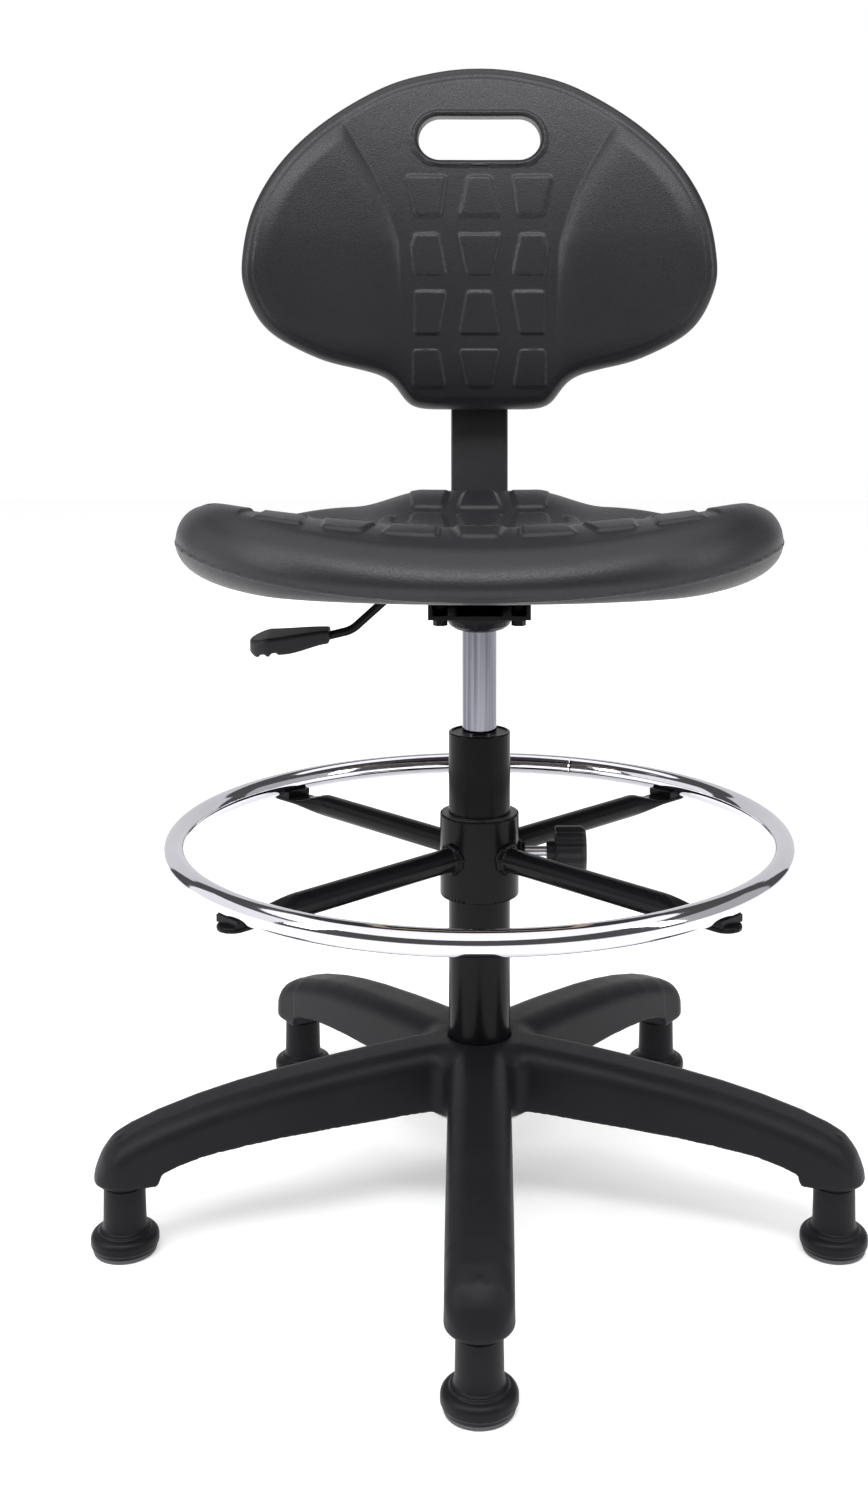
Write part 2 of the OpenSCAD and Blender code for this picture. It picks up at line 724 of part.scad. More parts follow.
module back_bracket() {
    half = bar_w / 2 + 0.4;
    sleeve_y = bar_bend_y + bar_bend_r - 0.4;
    color(dark_steel) difference() {
        union() {
            translate([-50, bracket_y, bracket_bottom_z])
                cube([100, 3, bracket_top_z - bracket_bottom_z]);
            translate([-half - 3, bracket_y + 3, bracket_bottom_z])
                cube([2 * half + 6, sleeve_y + bar_t + 0.8 + 3 - bracket_y - 3, bracket_top_z - bracket_bottom_z]);
            translate([0, bar_rear_y + 3, bracket_mid_z]) rotate([-90, 0, 0]) cylinder(h = 8.4, r = 8, $fn = smooth);
        }
        translate([-half, sleeve_y, bracket_bottom_z - 1])
            cube([2 * half, bar_t + 0.8, bracket_top_z - bracket_bottom_z + 2]);
        translate([0, bar_rear_y - 1, bracket_mid_z]) rotate([-90, 0, 0])
            cylinder(h = 20, r = thread_r + slip, $fn = 32);
        for (p = bracket_screw_at) translate([p[0], bracket_y - 1, p[1]]) rotate([-90, 0, 0])
            cylinder(h = 8, r = 3.1, $fn = 32);
    }
}

module bracket_screws() {
    color(steel) for (p = bracket_screw_at) translate([p[0], bracket_y + 3, p[1]]) rotate([90, 0, 0]) {
        rod(-eps, 14, 2.9);
        translate([0, 0, -2.6]) difference() {
            rod(0, 2.6, 4, 5.6);
            translate([-0.6, -6, -1]) cube([1.2, 12, 1.8]);
        }
    }
}

module behind_bar() {
    translate([0, bar_rear_y, bracket_mid_z]) rotate([-90, 0, 0]) children();
}

module height_pad() { behind_bar() clamp_pad(); }
module height_screw() { behind_bar() clamp_screw(22); }
module height_knob() {
    color(black) behind_bar() translate([0, 0, 13]) difference() {
        knob_head(20, 19, 9, 4, 8);
        translate([0, 0, -1]) cylinder(h = 10, r = thread_r, $fn = 32);
    }
}

// ---------- foot ring ----------

hoop_r = (hoop_d - ring_tube_d) / 2;
tube_r = ring_tube_d / 2;
spoke_z = hoop_z - 11.5;
collar_r = collar_d / 2;
collar_bottom_z = 250;
collar_top_z = 317.5;
liner_r = collar_r - 3;
spoke_angles = [-45, 45, 135, 225];
flat_t = 4;
flat_z = hoop_z - tube_r - 1.2 - flat_t;

module ring_bush() {
    flange_r = liner_r + 1.5;
    color(nylon) difference() {
        union() {
            rod(collar_bottom_z + 0.2, collar_top_z - 0.2, liner_r - slip);
            rod(collar_top_z - 2, collar_top_z - 0.2, flange_r);
            rod(collar_bottom_z + 0.2, collar_bottom_z + 2, flange_r);
        }
        translate([0, 0, collar_bottom_z - 5]) cylinder(h = 100, r = column_r + 0.1, $fn = smooth);
    }
}

module ring_collar() {
    recess_r = liner_r + 1.8;
    recess_h = 2.2;
    color(black) difference() {
        union() {
            rod(collar_bottom_z, collar_top_z - 1, collar_r);
            rod(collar_top_z - 1, collar_top_z, collar_r, collar_r - 0.8);
            translate([collar_r - 1.5, 0, spoke_z]) rotate([0, 90, 0]) cylinder(h = 6.5, r = 7.5, $fn = 6);
        }
        rod(collar_bottom_z - 1, collar_top_z + 1, liner_r);
        rod(collar_top_z - recess_h, collar_top_z + 1, recess_r);
        rod(collar_bottom_z - 1, collar_bottom_z + recess_h, recess_r);
        translate([0, 0, spoke_z]) rotate([0, 90, 0]) cylinder(h = 60, r = thread_r + slip, $fn = 32);
    }
}

// A round tube whose end is pressed flat under the hoop
module spoke(k) {
    round_end = hoop_r - 50;
    flat_start = hoop_r - 20;
    flat_end = hoop_r + 15;
    flat_w = 24;
    color(black) rotate(spoke_angles[k]) difference() {
        union() {
            translate([0, 0, spoke_z]) rotate([0, 90, 0]) cylinder(h = flat_start, r = tube_r, $fn = smooth);
            translate([flat_start - 14, -flat_w / 2, flat_z]) cube([flat_end - flat_w / 2 - flat_start + 14, flat_w, flat_t]);
            translate([flat_end - flat_w / 2, 0, flat_z]) cylinder(h = flat_t, r = flat_w / 2, $fn = smooth);
        }
        // the slopes from the round tube to the flat
        rotate([90, 0, 0]) translate([0, 0, -flat_w]) linear_extrude(2 * flat_w) {
            polygon([[round_end, spoke_z + tube_r + eps], [flat_start + 1, flat_z + flat_t],
                [flat_start + 1, hoop_z], [round_end, hoop_z]]);
            polygon([[round_end, spoke_z - tube_r - eps], [round_end, flat_z - 30],
                [flat_start + 1, flat_z - 30], [flat_start + 1, flat_z]]);
        }
        rod(0, 500, collar_r);
        translate([hoop_r, 0, flat_z - 1]) cylinder(h = 10, r = 3.2, $fn = 32);
    }
}

module ring_hoop() {
    color(chrome) difference() {
        translate([0, 0, hoop_z]) rotate_extrude($fn = 180) translate([hoop_r, 0]) circle(r = tube_r, $fn = smooth);
        for (a = spoke_angles) rotate(a) translate([hoop_r, 0, hoop_z - tube_r - 1])
            cylinder(h = 10, r = 2.6, $fn = 32);
    }
}

// The block that cradles the hoop on each spoke's flat end
module ring_saddles() {
    color(black) for (a = spoke_angles) rotate(a) difference() {
        translate([hoop_r - 13, -12, flat_z + flat_t]) cube([22, 24, 5.4]);
        translate([0, 0, hoop_z]) rotate_extrude($fn = 180) translate([hoop_r, 0]) circle(r = tube_r, $fn = smooth);
        translate([hoop_r, 0, flat_z]) cylinder(h = 12, r = 3.2, $fn = 32);
    }
}

module ring_screws() {
    color(dark_steel) for (a = spoke_angles) rotate(a) translate([hoop_r, 0, flat_z]) {
        rod(-eps, 12, 2.55);
        translate([0, 0, -3]) difference() {
            rod(0, 3, 3.6, 5.4);
            translate([0, 0, -1]) hex(3.5, 2.6);
        }
    }
}

module beside_bush() {
    translate([liner_r, 0, spoke_z]) rotate([0, 90, 0]) children();
}

module ring_pad() { beside_bush() clamp_pad(); }
module ring_stud() { beside_bush() clamp_screw(40); }
module ring_knob() {
    color(black) beside_bush() translate([0, 0, 25.5]) difference() {
        knob_head(20.5, 25, 8.5, 7, 10);
        translate([0, 0, -1]) cylinder(h = 15.5, r = thread_r, $fn = 32);
    }
}

star_base();
hub_ring();
glide(0);  // glide_front
glide(1);  // glide_right
glide(2);  // glide_rear_right
glide(3);  // glide_rear_left
glide(4);  // glide_left
glide_stems();
glide_pads();
column_tube();
column_bush();
bearing_race_lower();
bearing_cage();
bearing_balls();
bearing_race_upper();
piston_rod();
piston();
bump_stop();
rod_clip();
gas_cylinder();
cylinder_seal();
release_pin();
mechanism_box();
mechanism_socket();
mechanism_bolts();
seat_plate();
lever_bush();
lever_rod();
lever_paddle();
bar_guide();
seat_foam();
seat_insert();
seat_bolts();
seat_tee_nuts();
back_bar();
bar_end_cap();
depth_pad();
depth_screw();
depth_knob();
back_foam();
back_insert();
back_bracket();
bracket_screws();
height_pad();
height_screw();
height_knob();
ring_bush();
ring_collar();
spoke(0);  // spoke_front_right
spoke(1);  // spoke_rear_right
spoke(2);  // spoke_rear_left
spoke(3);  // spoke_front_left
ring_hoop();
ring_saddles();
ring_screws();
ring_pad();
ring_stud();
ring_knob();
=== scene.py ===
import json
import math

import bpy
import numpy as np
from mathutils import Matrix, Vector

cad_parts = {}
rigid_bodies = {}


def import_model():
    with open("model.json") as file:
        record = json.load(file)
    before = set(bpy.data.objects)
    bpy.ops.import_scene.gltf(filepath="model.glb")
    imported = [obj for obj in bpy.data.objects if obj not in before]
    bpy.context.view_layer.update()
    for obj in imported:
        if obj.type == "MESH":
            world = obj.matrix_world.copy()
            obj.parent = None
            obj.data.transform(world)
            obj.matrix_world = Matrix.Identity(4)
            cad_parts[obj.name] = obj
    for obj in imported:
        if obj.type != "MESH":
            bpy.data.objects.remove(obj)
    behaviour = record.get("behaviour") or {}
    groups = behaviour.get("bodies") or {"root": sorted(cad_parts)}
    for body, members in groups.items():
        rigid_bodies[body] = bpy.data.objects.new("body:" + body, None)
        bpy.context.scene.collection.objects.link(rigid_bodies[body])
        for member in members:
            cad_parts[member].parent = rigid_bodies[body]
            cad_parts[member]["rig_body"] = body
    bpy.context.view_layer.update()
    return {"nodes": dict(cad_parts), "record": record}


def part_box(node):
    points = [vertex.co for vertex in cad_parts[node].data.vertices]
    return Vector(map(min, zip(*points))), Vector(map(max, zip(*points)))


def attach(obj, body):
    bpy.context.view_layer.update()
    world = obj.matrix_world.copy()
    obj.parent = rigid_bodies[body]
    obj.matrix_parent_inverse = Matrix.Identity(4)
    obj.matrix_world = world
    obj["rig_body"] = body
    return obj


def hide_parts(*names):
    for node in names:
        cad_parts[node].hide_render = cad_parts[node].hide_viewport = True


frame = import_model()

# Shapes are worked out in millimetres in the frame's own axes, and become metres when a mesh is made.
MM = 0.001


def box_mm(node):
    """Lowest and highest corner of a CAD node, in millimetres."""
    low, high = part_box(node)
    return np.array(low) / MM, np.array(high) / MM


# ---------- shape functions ----------

def smoothstep(a, b, t):
    """From 0 where t is a to 1 where it is b, with a soft start and end."""
    u = np.clip((t - a) / (b - a), 0, 1)
    return u * u * (3 - 2 * u)


def blend_min(a, b, k):
    """The union of two shapes, with a fillet of about the size k between them."""
    h = np.clip(0.5 + 0.5 * (b - a) / k, 0, 1)
    return b + (a - b) * h - k * h * (1 - h)


def blend_max(a, b, k):
    """What two shapes share, with a fillet of about the size k where they meet."""
    return -blend_min(-a, -b, k)


def rounded(a, b, r):
    """What is inside both a and b, with their edge rounded to the radius r."""
    return np.minimum(np.maximum(a + r, b + r), 0) + np.hypot(np.maximum(a + r, 0), np.maximum(b + r, 0)) - r


def box_shape(x, y, half_x, half_y, r):
    """Distance to a rectangle with rounded corners, below 0 inside."""
    return rounded(np.abs(x) - half_x, np.abs(y) - half_y, r)


def capsule(x, y, x0, r0, x1, r1):
    """Distance to a bar along X with round ends, whose radius changes evenly from r0 to r1."""
    t = np.clip((x - x0) / (x1 - x0), 0, 1)
    return np.hypot(x - x0 - t * (x1 - x0), y) - (r0 + t * (r1 - r0))


def loop_through(points, steps, soft=9.0):
    """A smooth closed curve through points, evenly spaced, then softened over so many millimetres."""
    p = np.array(points, float)
    before, here, after, later = (np.roll(p, shift, 0) for shift in (1, 0, -1, -2))
    t = (np.arange(steps) / steps)[:, None, None]
    curve = 0.5 * (2 * here + (after - before) * t + (2 * before - 5 * here + 4 * after - later) * t**2
                   + (3 * here - before - 3 * after + later) * t**3)
    curve = curve.transpose(1, 0, 2).reshape(-1, 2)
    length = np.concatenate([[0], np.cumsum(np.linalg.norm(np.roll(curve, -1, 0) - curve, axis=1))])
    even = np.linspace(0, length[-1], 361)[:-1]
    curve = np.stack([np.interp(even, length, np.append(curve[:, a], curve[0, a])) for a in (0, 1)], 1)
    for _ in range(round((soft / even[1]) ** 2 * 2)):
        curve = (np.roll(curve, 1, 0) + 2 * curve + np.roll(curve, -1, 0)) / 4
    return curve


def mirrored(half):
    """The whole outline, from its right half."""
    return list(half) + [(-x, y) for x, y in half[-2:0:-1]]


def map_reader(values, low, step):
    """A function that reads a map of values, laid out from the corner low in steps, at any points."""
    count = values.shape

    def read(x, y):
        i = np.clip((x - low[0]) / step, 0, count[0] - 1.001)
        j = np.clip((y - low[1]) / step, 0, count[1] - 1.001)
        i0, j0 = i.astype(int), j.astype(int)
        u, v = i - i0, j - j0
        return ((values[i0, j0] * (1 - u) + values[i0 + 1, j0] * u) * (1 - v)
                + (values[i0, j0 + 1] * (1 - u) + values[i0 + 1, j0 + 1] * u) * v)
    return read


def depth_inside(outline, step=1.5, margin=20):
    """A function that tells how far inside a closed outline a point is, read from a fine map of distances."""
    low = outline.min(0) - margin
    count = np.ceil((outline.max(0) + margin - low) / step).astype(int) + 1
    gx, gy = np.meshgrid(*(low[a] + step * np.arange(count[a]) for a in (0, 1)), indexing="ij")
    nearest = np.full(gx.shape, 1e9)
    inside = np.zeros(gx.shape, bool)
    for (ax, ay), (bx, by) in zip(outline, np.roll(outline, -1, 0)):
        ux, uy = bx - ax, by - ay
        t = np.clip(((gx - ax) * ux + (gy - ay) * uy) / (ux * ux + uy * uy), 0, 1)
        nearest = np.minimum(nearest, np.hypot(gx - ax - t * ux, gy - ay - t * uy))
        if uy:
            inside ^= ((ay > gy) != (by > gy)) & (gx < ax + ux * (gy - ay) / uy)
    return map_reader(np.where(inside, nearest, -nearest), low, step)


def tile_map(tiles, low, high, bevel, corner, arc):
    """A function that reads how far the raised tiles stand up, from 0 between them to 1 on them.

    A tile is (y low, y high, x from and to at its low edge, x from and to at its high edge), on both sides
    of the middle. arc bends the rows: it is how far they shift along y at |x| = 200."""
    step = 0.8
    x = np.arange(low[0], high[0], step)[:, None]
    y = np.arange(low[1], high[1], step)[None, :]
    side, flat = np.abs(x), y - arc * (np.abs(x) / 200) ** 2
    total = np.zeros(np.broadcast(x, y).shape)
    for y0, y1, a0, b0, a1, b1 in tiles:
        t = (flat - y0) / (y1 - y0)
        across = np.maximum(a0 + (a1 - a0) * t - side, side - b0 - (b1 - b0) * t)
        beyond = np.maximum(y0 - flat, flat - y1)
        total = np.maximum(total, smoothstep(0, bevel, -rounded(across, beyond, corner)))
    return map_reader(total, low, step)


# ---------- from a shape to a mesh ----------

CORNERS = [(i, j, k) for i in (0, 1) for j in (0, 1) for k in (0, 1)]
EDGES = [(a, b) for a in CORNERS for b in CORNERS if a < b and sum(np.abs(np.subtract(a, b))) == 1]


def surface(shape, low, high, step, rounds=4):
    """Points and four-sided faces of the surface where shape(x, y, z) is 0, within a box."""
    step *= 1
    axes = [np.arange(a - 1.5 * step, b + 2.5 * step, step) for a, b in zip(low, high)]
    grid = shape(axes[0][:, None, None], axes[1][None, :, None], axes[2][None, None, :])
    inside = grid < 0
    cells = tuple(n - 1 for n in grid.shape)
    full = sum(inside[i:i + cells[0], j:j + cells[1], k:k + cells[2]].astype(np.int8) for i, j, k in CORNERS)
    active = (full > 0) & (full < 8)
    number = np.full(cells, -1, np.int64)
    number[active] = np.arange(active.sum())
    where = np.argwhere(active)
    # a point for each cell on the surface, at the mean of where its edges cross
    total, crossings = np.zeros(where.shape), np.zeros(len(where))
    for a, b in EDGES:
        va, vb = (grid[tuple((where + c).T)] for c in (a, b))
        crosses = (va < 0) != (vb < 0)
        t = np.where(crosses, va / np.where(va == vb, 1, va - vb), 0)
        total += crosses[:, None] * (a + t[:, None] * np.subtract(b, a))
        crossings += crosses
    points = np.array([a[0] for a in axes]) + (where + total / crossings[:, None]) * step
    # a face for each crossed edge of the grid, between the four cells round it
    faces = []
    for a in range(3):
        u, v = (a + 1) % 3, (a + 2) % 3
        ahead = np.roll(inside, -1, a)
        edge = np.argwhere(inside != ahead)
        edge = edge[(edge[:, a] < grid.shape[a] - 1)]
        quad = []
        for du, dv in ((-1, -1), (0, -1), (0, 0), (-1, 0)):
            cell = edge.copy()
            cell[:, u] += du
            cell[:, v] += dv
            quad.append(number[tuple(cell.T)])
        quad = np.stack(quad, 1)
        turned = ahead[tuple(edge.T)]
        quad[turned] = quad[turned][:, ::-1]
        faces.append(quad)
    faces = np.concatenate(faces)
    for _ in range(rounds):
        points = settled(shape, relaxed(points, faces), step)
    return points, faces


def relaxed(points, faces):
    """Each point moved halfway to the mean of its neighbours."""
    total, count = np.zeros(points.shape), np.zeros(len(points))
    for a, b in ((0, 1), (1, 2), (2, 3), (3, 0)):
        for here, there in ((faces[:, a], faces[:, b]), (faces[:, b], faces[:, a])):
            count += np.bincount(here, minlength=len(points))
            for axis in range(3):
                total[:, axis] += np.bincount(here, points[there, axis], minlength=len(points))
    return (points + total / count[:, None]) / 2


def settled(shape, points, step):
    """Points brought back onto the surface."""
    nudge = 0.1 * step
    x, y, z = points.T
    value = shape(x, y, z)
    slope = np.stack([shape(x + nudge, y, z) - value, shape(x, y + nudge, z) - value,
                      shape(x, y, z + nudge) - value], 1) / nudge
    move = -value[:, None] * slope / np.maximum((slope**2).sum(1), 0.05)[:, None]
    length = np.linalg.norm(move, axis=1)
    return points + move * np.minimum(1, 0.5 * step / np.maximum(length, 1e-9))[:, None]


def fillet(corners, steps=6, closed=False):
    """A path through corners (a, b, radius), turning at each on an arc of its radius."""
    path = []
    n = len(corners)
    for i, (a, b, r) in enumerate(corners):
        here = np.array([a, b], float)
        if r == 0 or (not closed and i in (0, n - 1)):
            path.append(here)
            continue
        back = np.array(corners[i - 1][:2], float) - here
        on = np.array(corners[(i + 1) % n][:2], float) - here
        back, on = back / np.linalg.norm(back), on / np.linalg.norm(on)
        half = math.acos(np.clip(back @ on, -1, 1)) / 2
        start, end = here + back * r / math.tan(half), here + on * r / math.tan(half)
        centre = here + (back + on) / np.linalg.norm(back + on) * r / math.sin(half)
        sweep = math.pi - 2 * half
        for k in range(steps + 1):
            t = k / steps
            spoke = (math.sin((1 - t) * sweep) * (start - centre) + math.sin(t * sweep) * (end - centre))
            path.append(centre + spoke / math.sin(sweep))
    return np.array(path)


def lathe(profile, turns, closed=False):
    """Points and faces of a profile (radius, height) turned round Z. An open profile ends on the axis."""
    profile = np.array(profile, float)
    angle = 2 * math.pi * np.arange(turns) / turns
    rings = profile if closed else profile[1:-1]
    points = np.stack([rings[:, :1] * np.cos(angle), rings[:, :1] * np.sin(angle),
                       rings[:, 1:] + 0 * angle], 2).reshape(-1, 3)
    faces = []
    for j in range(len(rings) if closed else len(rings) - 1):
        low, high = j * turns, (j + 1) % len(rings) * turns
        for i in range(turns):
            k = (i + 1) % turns
            faces.append((low + i, low + k, high + k, high + i))
    if not closed:
        first, last = len(points), len(points) + 1
        points = np.vstack([points, [(0, 0, profile[0][1]), (0, 0, profile[-1][1])]])
        top = (len(rings) - 1) * turns
        faces += [(first, (i + 1) % turns, i) for i in range(turns)]
        faces += [(last, top + i, top + (i + 1) % turns) for i in range(turns)]
    return points, faces


def swept(path, section, across, end_r):
    """Points and faces of a section swept along a flat path, with its two ends rounded over by end_r.

    The path's points (a, b) lie in a plane, across names the axis that is square to it, and the section's
    points are (in the plane, across it)."""
    path, section = np.array(path, float), np.array(section, float)
    along = np.gradient(path, axis=0)
    along /= np.linalg.norm(along, axis=1)[:, None]
    over = [(end_r * math.sin(a), end_r * (1 - math.cos(a))) for a in np.radians([90, 60, 30])]
    start = [(path[0] + along[0] * (end_r - out), along[0], inset) for out, inset in over]
    middle = [(path[i], along[i], 0) for i in range(1, len(path) - 1)]
    end = [(path[-1] - along[-1] * (end_r - out), along[-1], inset) for out, inset in reversed(over)]
    reach = np.abs(section).max(0)
    rings = []
    for place, way, inset in start + middle + end:
        shrunk = section * (1 - inset / reach)
        flat = place + shrunk[:, :1] * np.array([-way[1], way[0]])
        rings.append(np.insert(flat, across, shrunk[:, 1], axis=1))
    n, m = len(section), len(rings)
    faces = [(j * n + i, j * n + (i + 1) % n, (j + 1) * n + (i + 1) % n, (j + 1) * n + i)
             for j in range(m - 1) for i in range(n)]
    return np.concatenate(rings), faces + [tuple(range(n))[::-1], tuple(range((m - 1) * n, m * n))]


def outward(points, faces):
    """The faces, all turned round if the closed mesh they make is inside out."""
    volume = sum(np.dot(points[f[0]], np.cross(points[f[i]], points[f[i + 1]]))
                 for f in faces for i in range(1, len(f) - 1))
    return faces if volume > 0 else [tuple(f)[::-1] for f in faces]


# ---------- materials ----------

def new_material(name, colour, roughness, metallic=0.0):
    """A material with its shader, and a helper that adds a node.

    The helper takes a socket to link or a plain value for each of the node's inputs."""
    material = bpy.data.materials.new(name)
    material.use_nodes = True
    tree = material.node_tree
    shader = tree.nodes["Principled BSDF"]
    shader.inputs["Base Color"].default_value = (*colour, 1)
    shader.inputs["Roughness"].default_value = roughness
    shader.inputs["Metallic"].default_value = metallic

    def add(kind, inputs=None, **settings):
        node = tree.nodes.new("ShaderNode" + kind)
        for key, value in settings.items():
            setattr(node, key, value)
        for key, value in (inputs or {}).items():
            if isinstance(value, bpy.types.NodeSocket):
                tree.links.new(value, node.inputs[key])
            else:
                node.inputs[key].default_value = value
        return node
    return material, tree, shader, add


def noise(add, place, scale, detail=2.0):
    """Soft noise with so many patches to the metre."""
    return add("TexNoise", {"Vector": place, "Scale": scale, "Detail": detail}).outputs["Fac"]


def spread(add, value, low, high):
    """A value from 0.3 to 0.7, where noise mostly lies, spread from low to high."""
    return add("MapRange", {"Value": value, "From Min": 0.3, "From Max": 0.7, "To Min": low, "To Max": high},
               ).outputs["Result"]


def mixed(add, share, a, b):
    """Two values mixed, with b's share given."""
    return add("Mix", {"Factor": share, "A": a, "B": b}, data_type="FLOAT").outputs["Result"]


def between(add, fac, dark, light):
    """A colour between two, by a value from 0 to 1."""
    mix = add("Mix", {"Factor": fac}, data_type="RGBA")
    mix.inputs["A"].default_value = (*dark, 1)
    mix.inputs["B"].default_value = (*light, 1)
    return mix.outputs["Result"]


def raised(add, height, distance, normal=None):
    """A bump of so many millimetres, on top of another bump if one is given."""
    inputs = {"Height": height, "Distance": distance * MM, "Strength": 1.0}
    if normal is not None:
        inputs["Normal"] = normal
    return add("Bump", inputs).outputs["Normal"]


def shaded(name, dark, light, rough, bumps, metallic=0.0, patch=9.0, stretch=(1, 1, 1), **extra):
    """A material that varies between two colours and two roughnesses in soft patches, with noise bumps.

    Each bump is (how many to the metre, its height in mm). stretch squeezes the pattern along an axis."""
    material, tree, shader, add = new_material(name, dark, rough[0], metallic)
    place = add("TexCoord").outputs["Object"]
    if stretch != (1, 1, 1):
        place = add("VectorMath", {0: place, 1: stretch}, operation="MULTIPLY").outputs[0]
    wide, fine = noise(add, place, patch, 4.0), noise(add, place, patch * 40, 3.0)
    tree.links.new(between(add, spread(add, wide, 0, 1), dark, light), shader.inputs["Base Color"])
    tree.links.new(spread(add, mixed(add, 0.5, wide, fine), *rough), shader.inputs["Roughness"])
    normal = None
    for scale, height in bumps:
        normal = raised(add, noise(add, place, scale), height, normal)
    if normal is not None:
        tree.links.new(normal, shader.inputs["Normal"])
    for key, value in extra.items():
        shader.inputs[key.replace("_", " ")].default_value = value
    return material


def moulded_skin():
    """Self-skinned foam: near black, with a fine leather grain of flat cells between thin creases."""
    material, tree, shader, add = new_material("moulded_skin", (0.02, 0.02, 0.024), 0.4)
    place = add("TexCoord").outputs["Object"]
    wide, fine = noise(add, place, 7.0, 3.0), noise(add, place, 900.0, 2.0)
    tree.links.new(between(add, spread(add, wide, 0, 1), (0.010, 0.010, 0.0125), (0.0145, 0.014, 0.0175)),
                   shader.inputs["Base Color"])
    tree.links.new(spread(add, fine, 0.34, 0.5), shader.inputs["Roughness"])
    cells = add("TexVoronoi", {"Vector": place, "Scale": 620.0, "Randomness": 1.0}, feature="SMOOTH_F1")
    cells.inputs["Smoothness"].default_value = 0.4
    grain = raised(add, cells.outputs["Distance"], -0.09)
    tree.links.new(raised(add, fine, 0.07, raised(add, noise(add, place, 45.0), 0.25, grain)),
                   shader.inputs["Normal"])
    shader.inputs["Specular IOR Level"].default_value = 0.34
    return material


def plywood():
    """Birch plywood: long grain on its faces, and thin layers that show on its edges."""
    material, tree, shader, add = new_material("plywood", (0.5, 0.35, 0.2), 0.6)
    place = add("TexCoord").outputs["Object"]
    along = add("VectorMath", {0: place, 1: (3.0, 60.0, 60.0)}, operation="MULTIPLY").outputs[0]
    grain = noise(add, along, 4.0, 6.0)
    layers = add("TexWave", {"Vector": place, "Scale": 110.0, "Distortion": 0.6}, bands_direction="Z")
    both = mixed(add, 0.25, grain, layers.outputs["Fac"])
    tree.links.new(between(add, spread(add, both, 0, 1), (0.3, 0.19, 0.1), (0.6, 0.45, 0.28)),
                   shader.inputs["Base Color"])
    tree.links.new(spread(add, grain, 0.5, 0.7), shader.inputs["Roughness"])
    tree.links.new(raised(add, grain, 0.1), shader.inputs["Normal"])
    return material


FINISHES = {
    "moulded_skin": moulded_skin(),
    "plywood": plywood(),
    "base_nylon": shaded("base_nylon", (0.0075, 0.0075, 0.0095), (0.011, 0.011, 0.0135), (0.4, 0.52),
                         [(500, 0.06), (1800, 0.03)], Specular_IOR_Level=0.12),
    "glide_plastic": shaded("glide_plastic", (0.006, 0.006, 0.0075), (0.009, 0.009, 0.011), (0.36, 0.48),
                            [(900, 0.03)], Specular_IOR_Level=0.12),
    "pad_plastic": shaded("pad_plastic", (0.05, 0.05, 0.055), (0.08, 0.08, 0.085), (0.6, 0.75),
                          [(700, 0.04)]),
    "grip_plastic": shaded("grip_plastic", (0.008, 0.008, 0.0095), (0.012, 0.012, 0.0145), (0.36, 0.5),
                           [(1500, 0.04)], Specular_IOR_Level=0.25),
    "bush_plastic": shaded("bush_plastic", (0.03, 0.03, 0.033), (0.05, 0.05, 0.053), (0.35, 0.5),
                           [(600, 0.03)]),
    "black_paint": shaded("black_paint", (0.004, 0.004, 0.005), (0.0065, 0.0065, 0.0075), (0.21, 0.25),
                          [(90, 0.012)], Specular_IOR_Level=0.1),
    # The back bar's copy of the black paint: its satin roughness is the paint's own, its lighter colour is
    # painted light.
    "black_paint_satin_lit": shaded("black_paint_satin_lit", (0.014, 0.014, 0.016), (0.019, 0.019, 0.022),
                                (0.42, 0.52), [(260, 0.02), (90, 0.03)]),
    "hoop_chrome": shaded("hoop_chrome", (0.63, 0.62, 0.67), (0.7, 0.69, 0.75), (0.04, 0.09), [(60, 0.02)],
                          metallic=1.0),
    # The rod's lighter and darker colour streaks along its length are painted reflection bands.
    "rod_steel": shaded("rod_steel", (0.1, 0.1, 0.12), (0.27, 0.27, 0.31), (0.06, 0.13), [(900, 0.012)],
                        metallic=1.0, patch=230.0, stretch=(1, 1, 0.02)),
    "bright_steel": shaded("bright_steel", (0.5, 0.5, 0.52), (0.6, 0.6, 0.62), (0.2, 0.32), [(800, 0.01)],
                           metallic=1.0),
    "zinc_steel": shaded("zinc_steel", (0.42, 0.43, 0.45), (0.58, 0.59, 0.61), (0.25, 0.42), [(600, 0.02)],
                         metallic=1.0, patch=60.0),
    "bump_rubber": shaded("bump_rubber", (0.015, 0.015, 0.015), (0.025, 0.025, 0.025), (0.6, 0.8),
                          [(500, 0.05)]),
    "brass_pad": shaded("brass_pad", (0.55, 0.38, 0.14), (0.7, 0.5, 0.2), (0.25, 0.4), [(700, 0.02)],
                        metallic=1.0, patch=60.0),
}
SLOT_OF = {part["node"]: part["material_slot"] for part in frame["record"]["subparts"]}
for node, part in frame["nodes"].items():
    part.data.materials.clear()
    part.data.materials.append(FINISHES[SLOT_OF[node]])


def stand_in(name, nodes, points, faces, sharp=None, finish=None):
    """A piece in the place of CAD nodes: it rides on their body and has their finish.

    sharp is the angle in degrees past which an edge stays sharp. finish is another look of the same slot."""
    mesh = bpy.data.meshes.new(name)
    if not isinstance(faces, np.ndarray):
        faces = outward(points, faces)
    mesh.from_pydata((points * MM).tolist(), [], [tuple(f) for f in faces])
    mesh.polygons.foreach_set("use_smooth", np.ones(len(mesh.polygons), bool))
    if sharp is not None:
        mesh.set_sharp_from_angle(angle=math.radians(sharp))
    mesh.materials.append(FINISHES[finish or SLOT_OF[nodes[0]]])
    piece = bpy.data.objects.new(name, mesh)
    bpy.context.scene.collection.objects.link(piece)
    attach(piece, frame["nodes"][nodes[0]]["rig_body"])
    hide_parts(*nodes)
    return piece


# ---------- base ----------

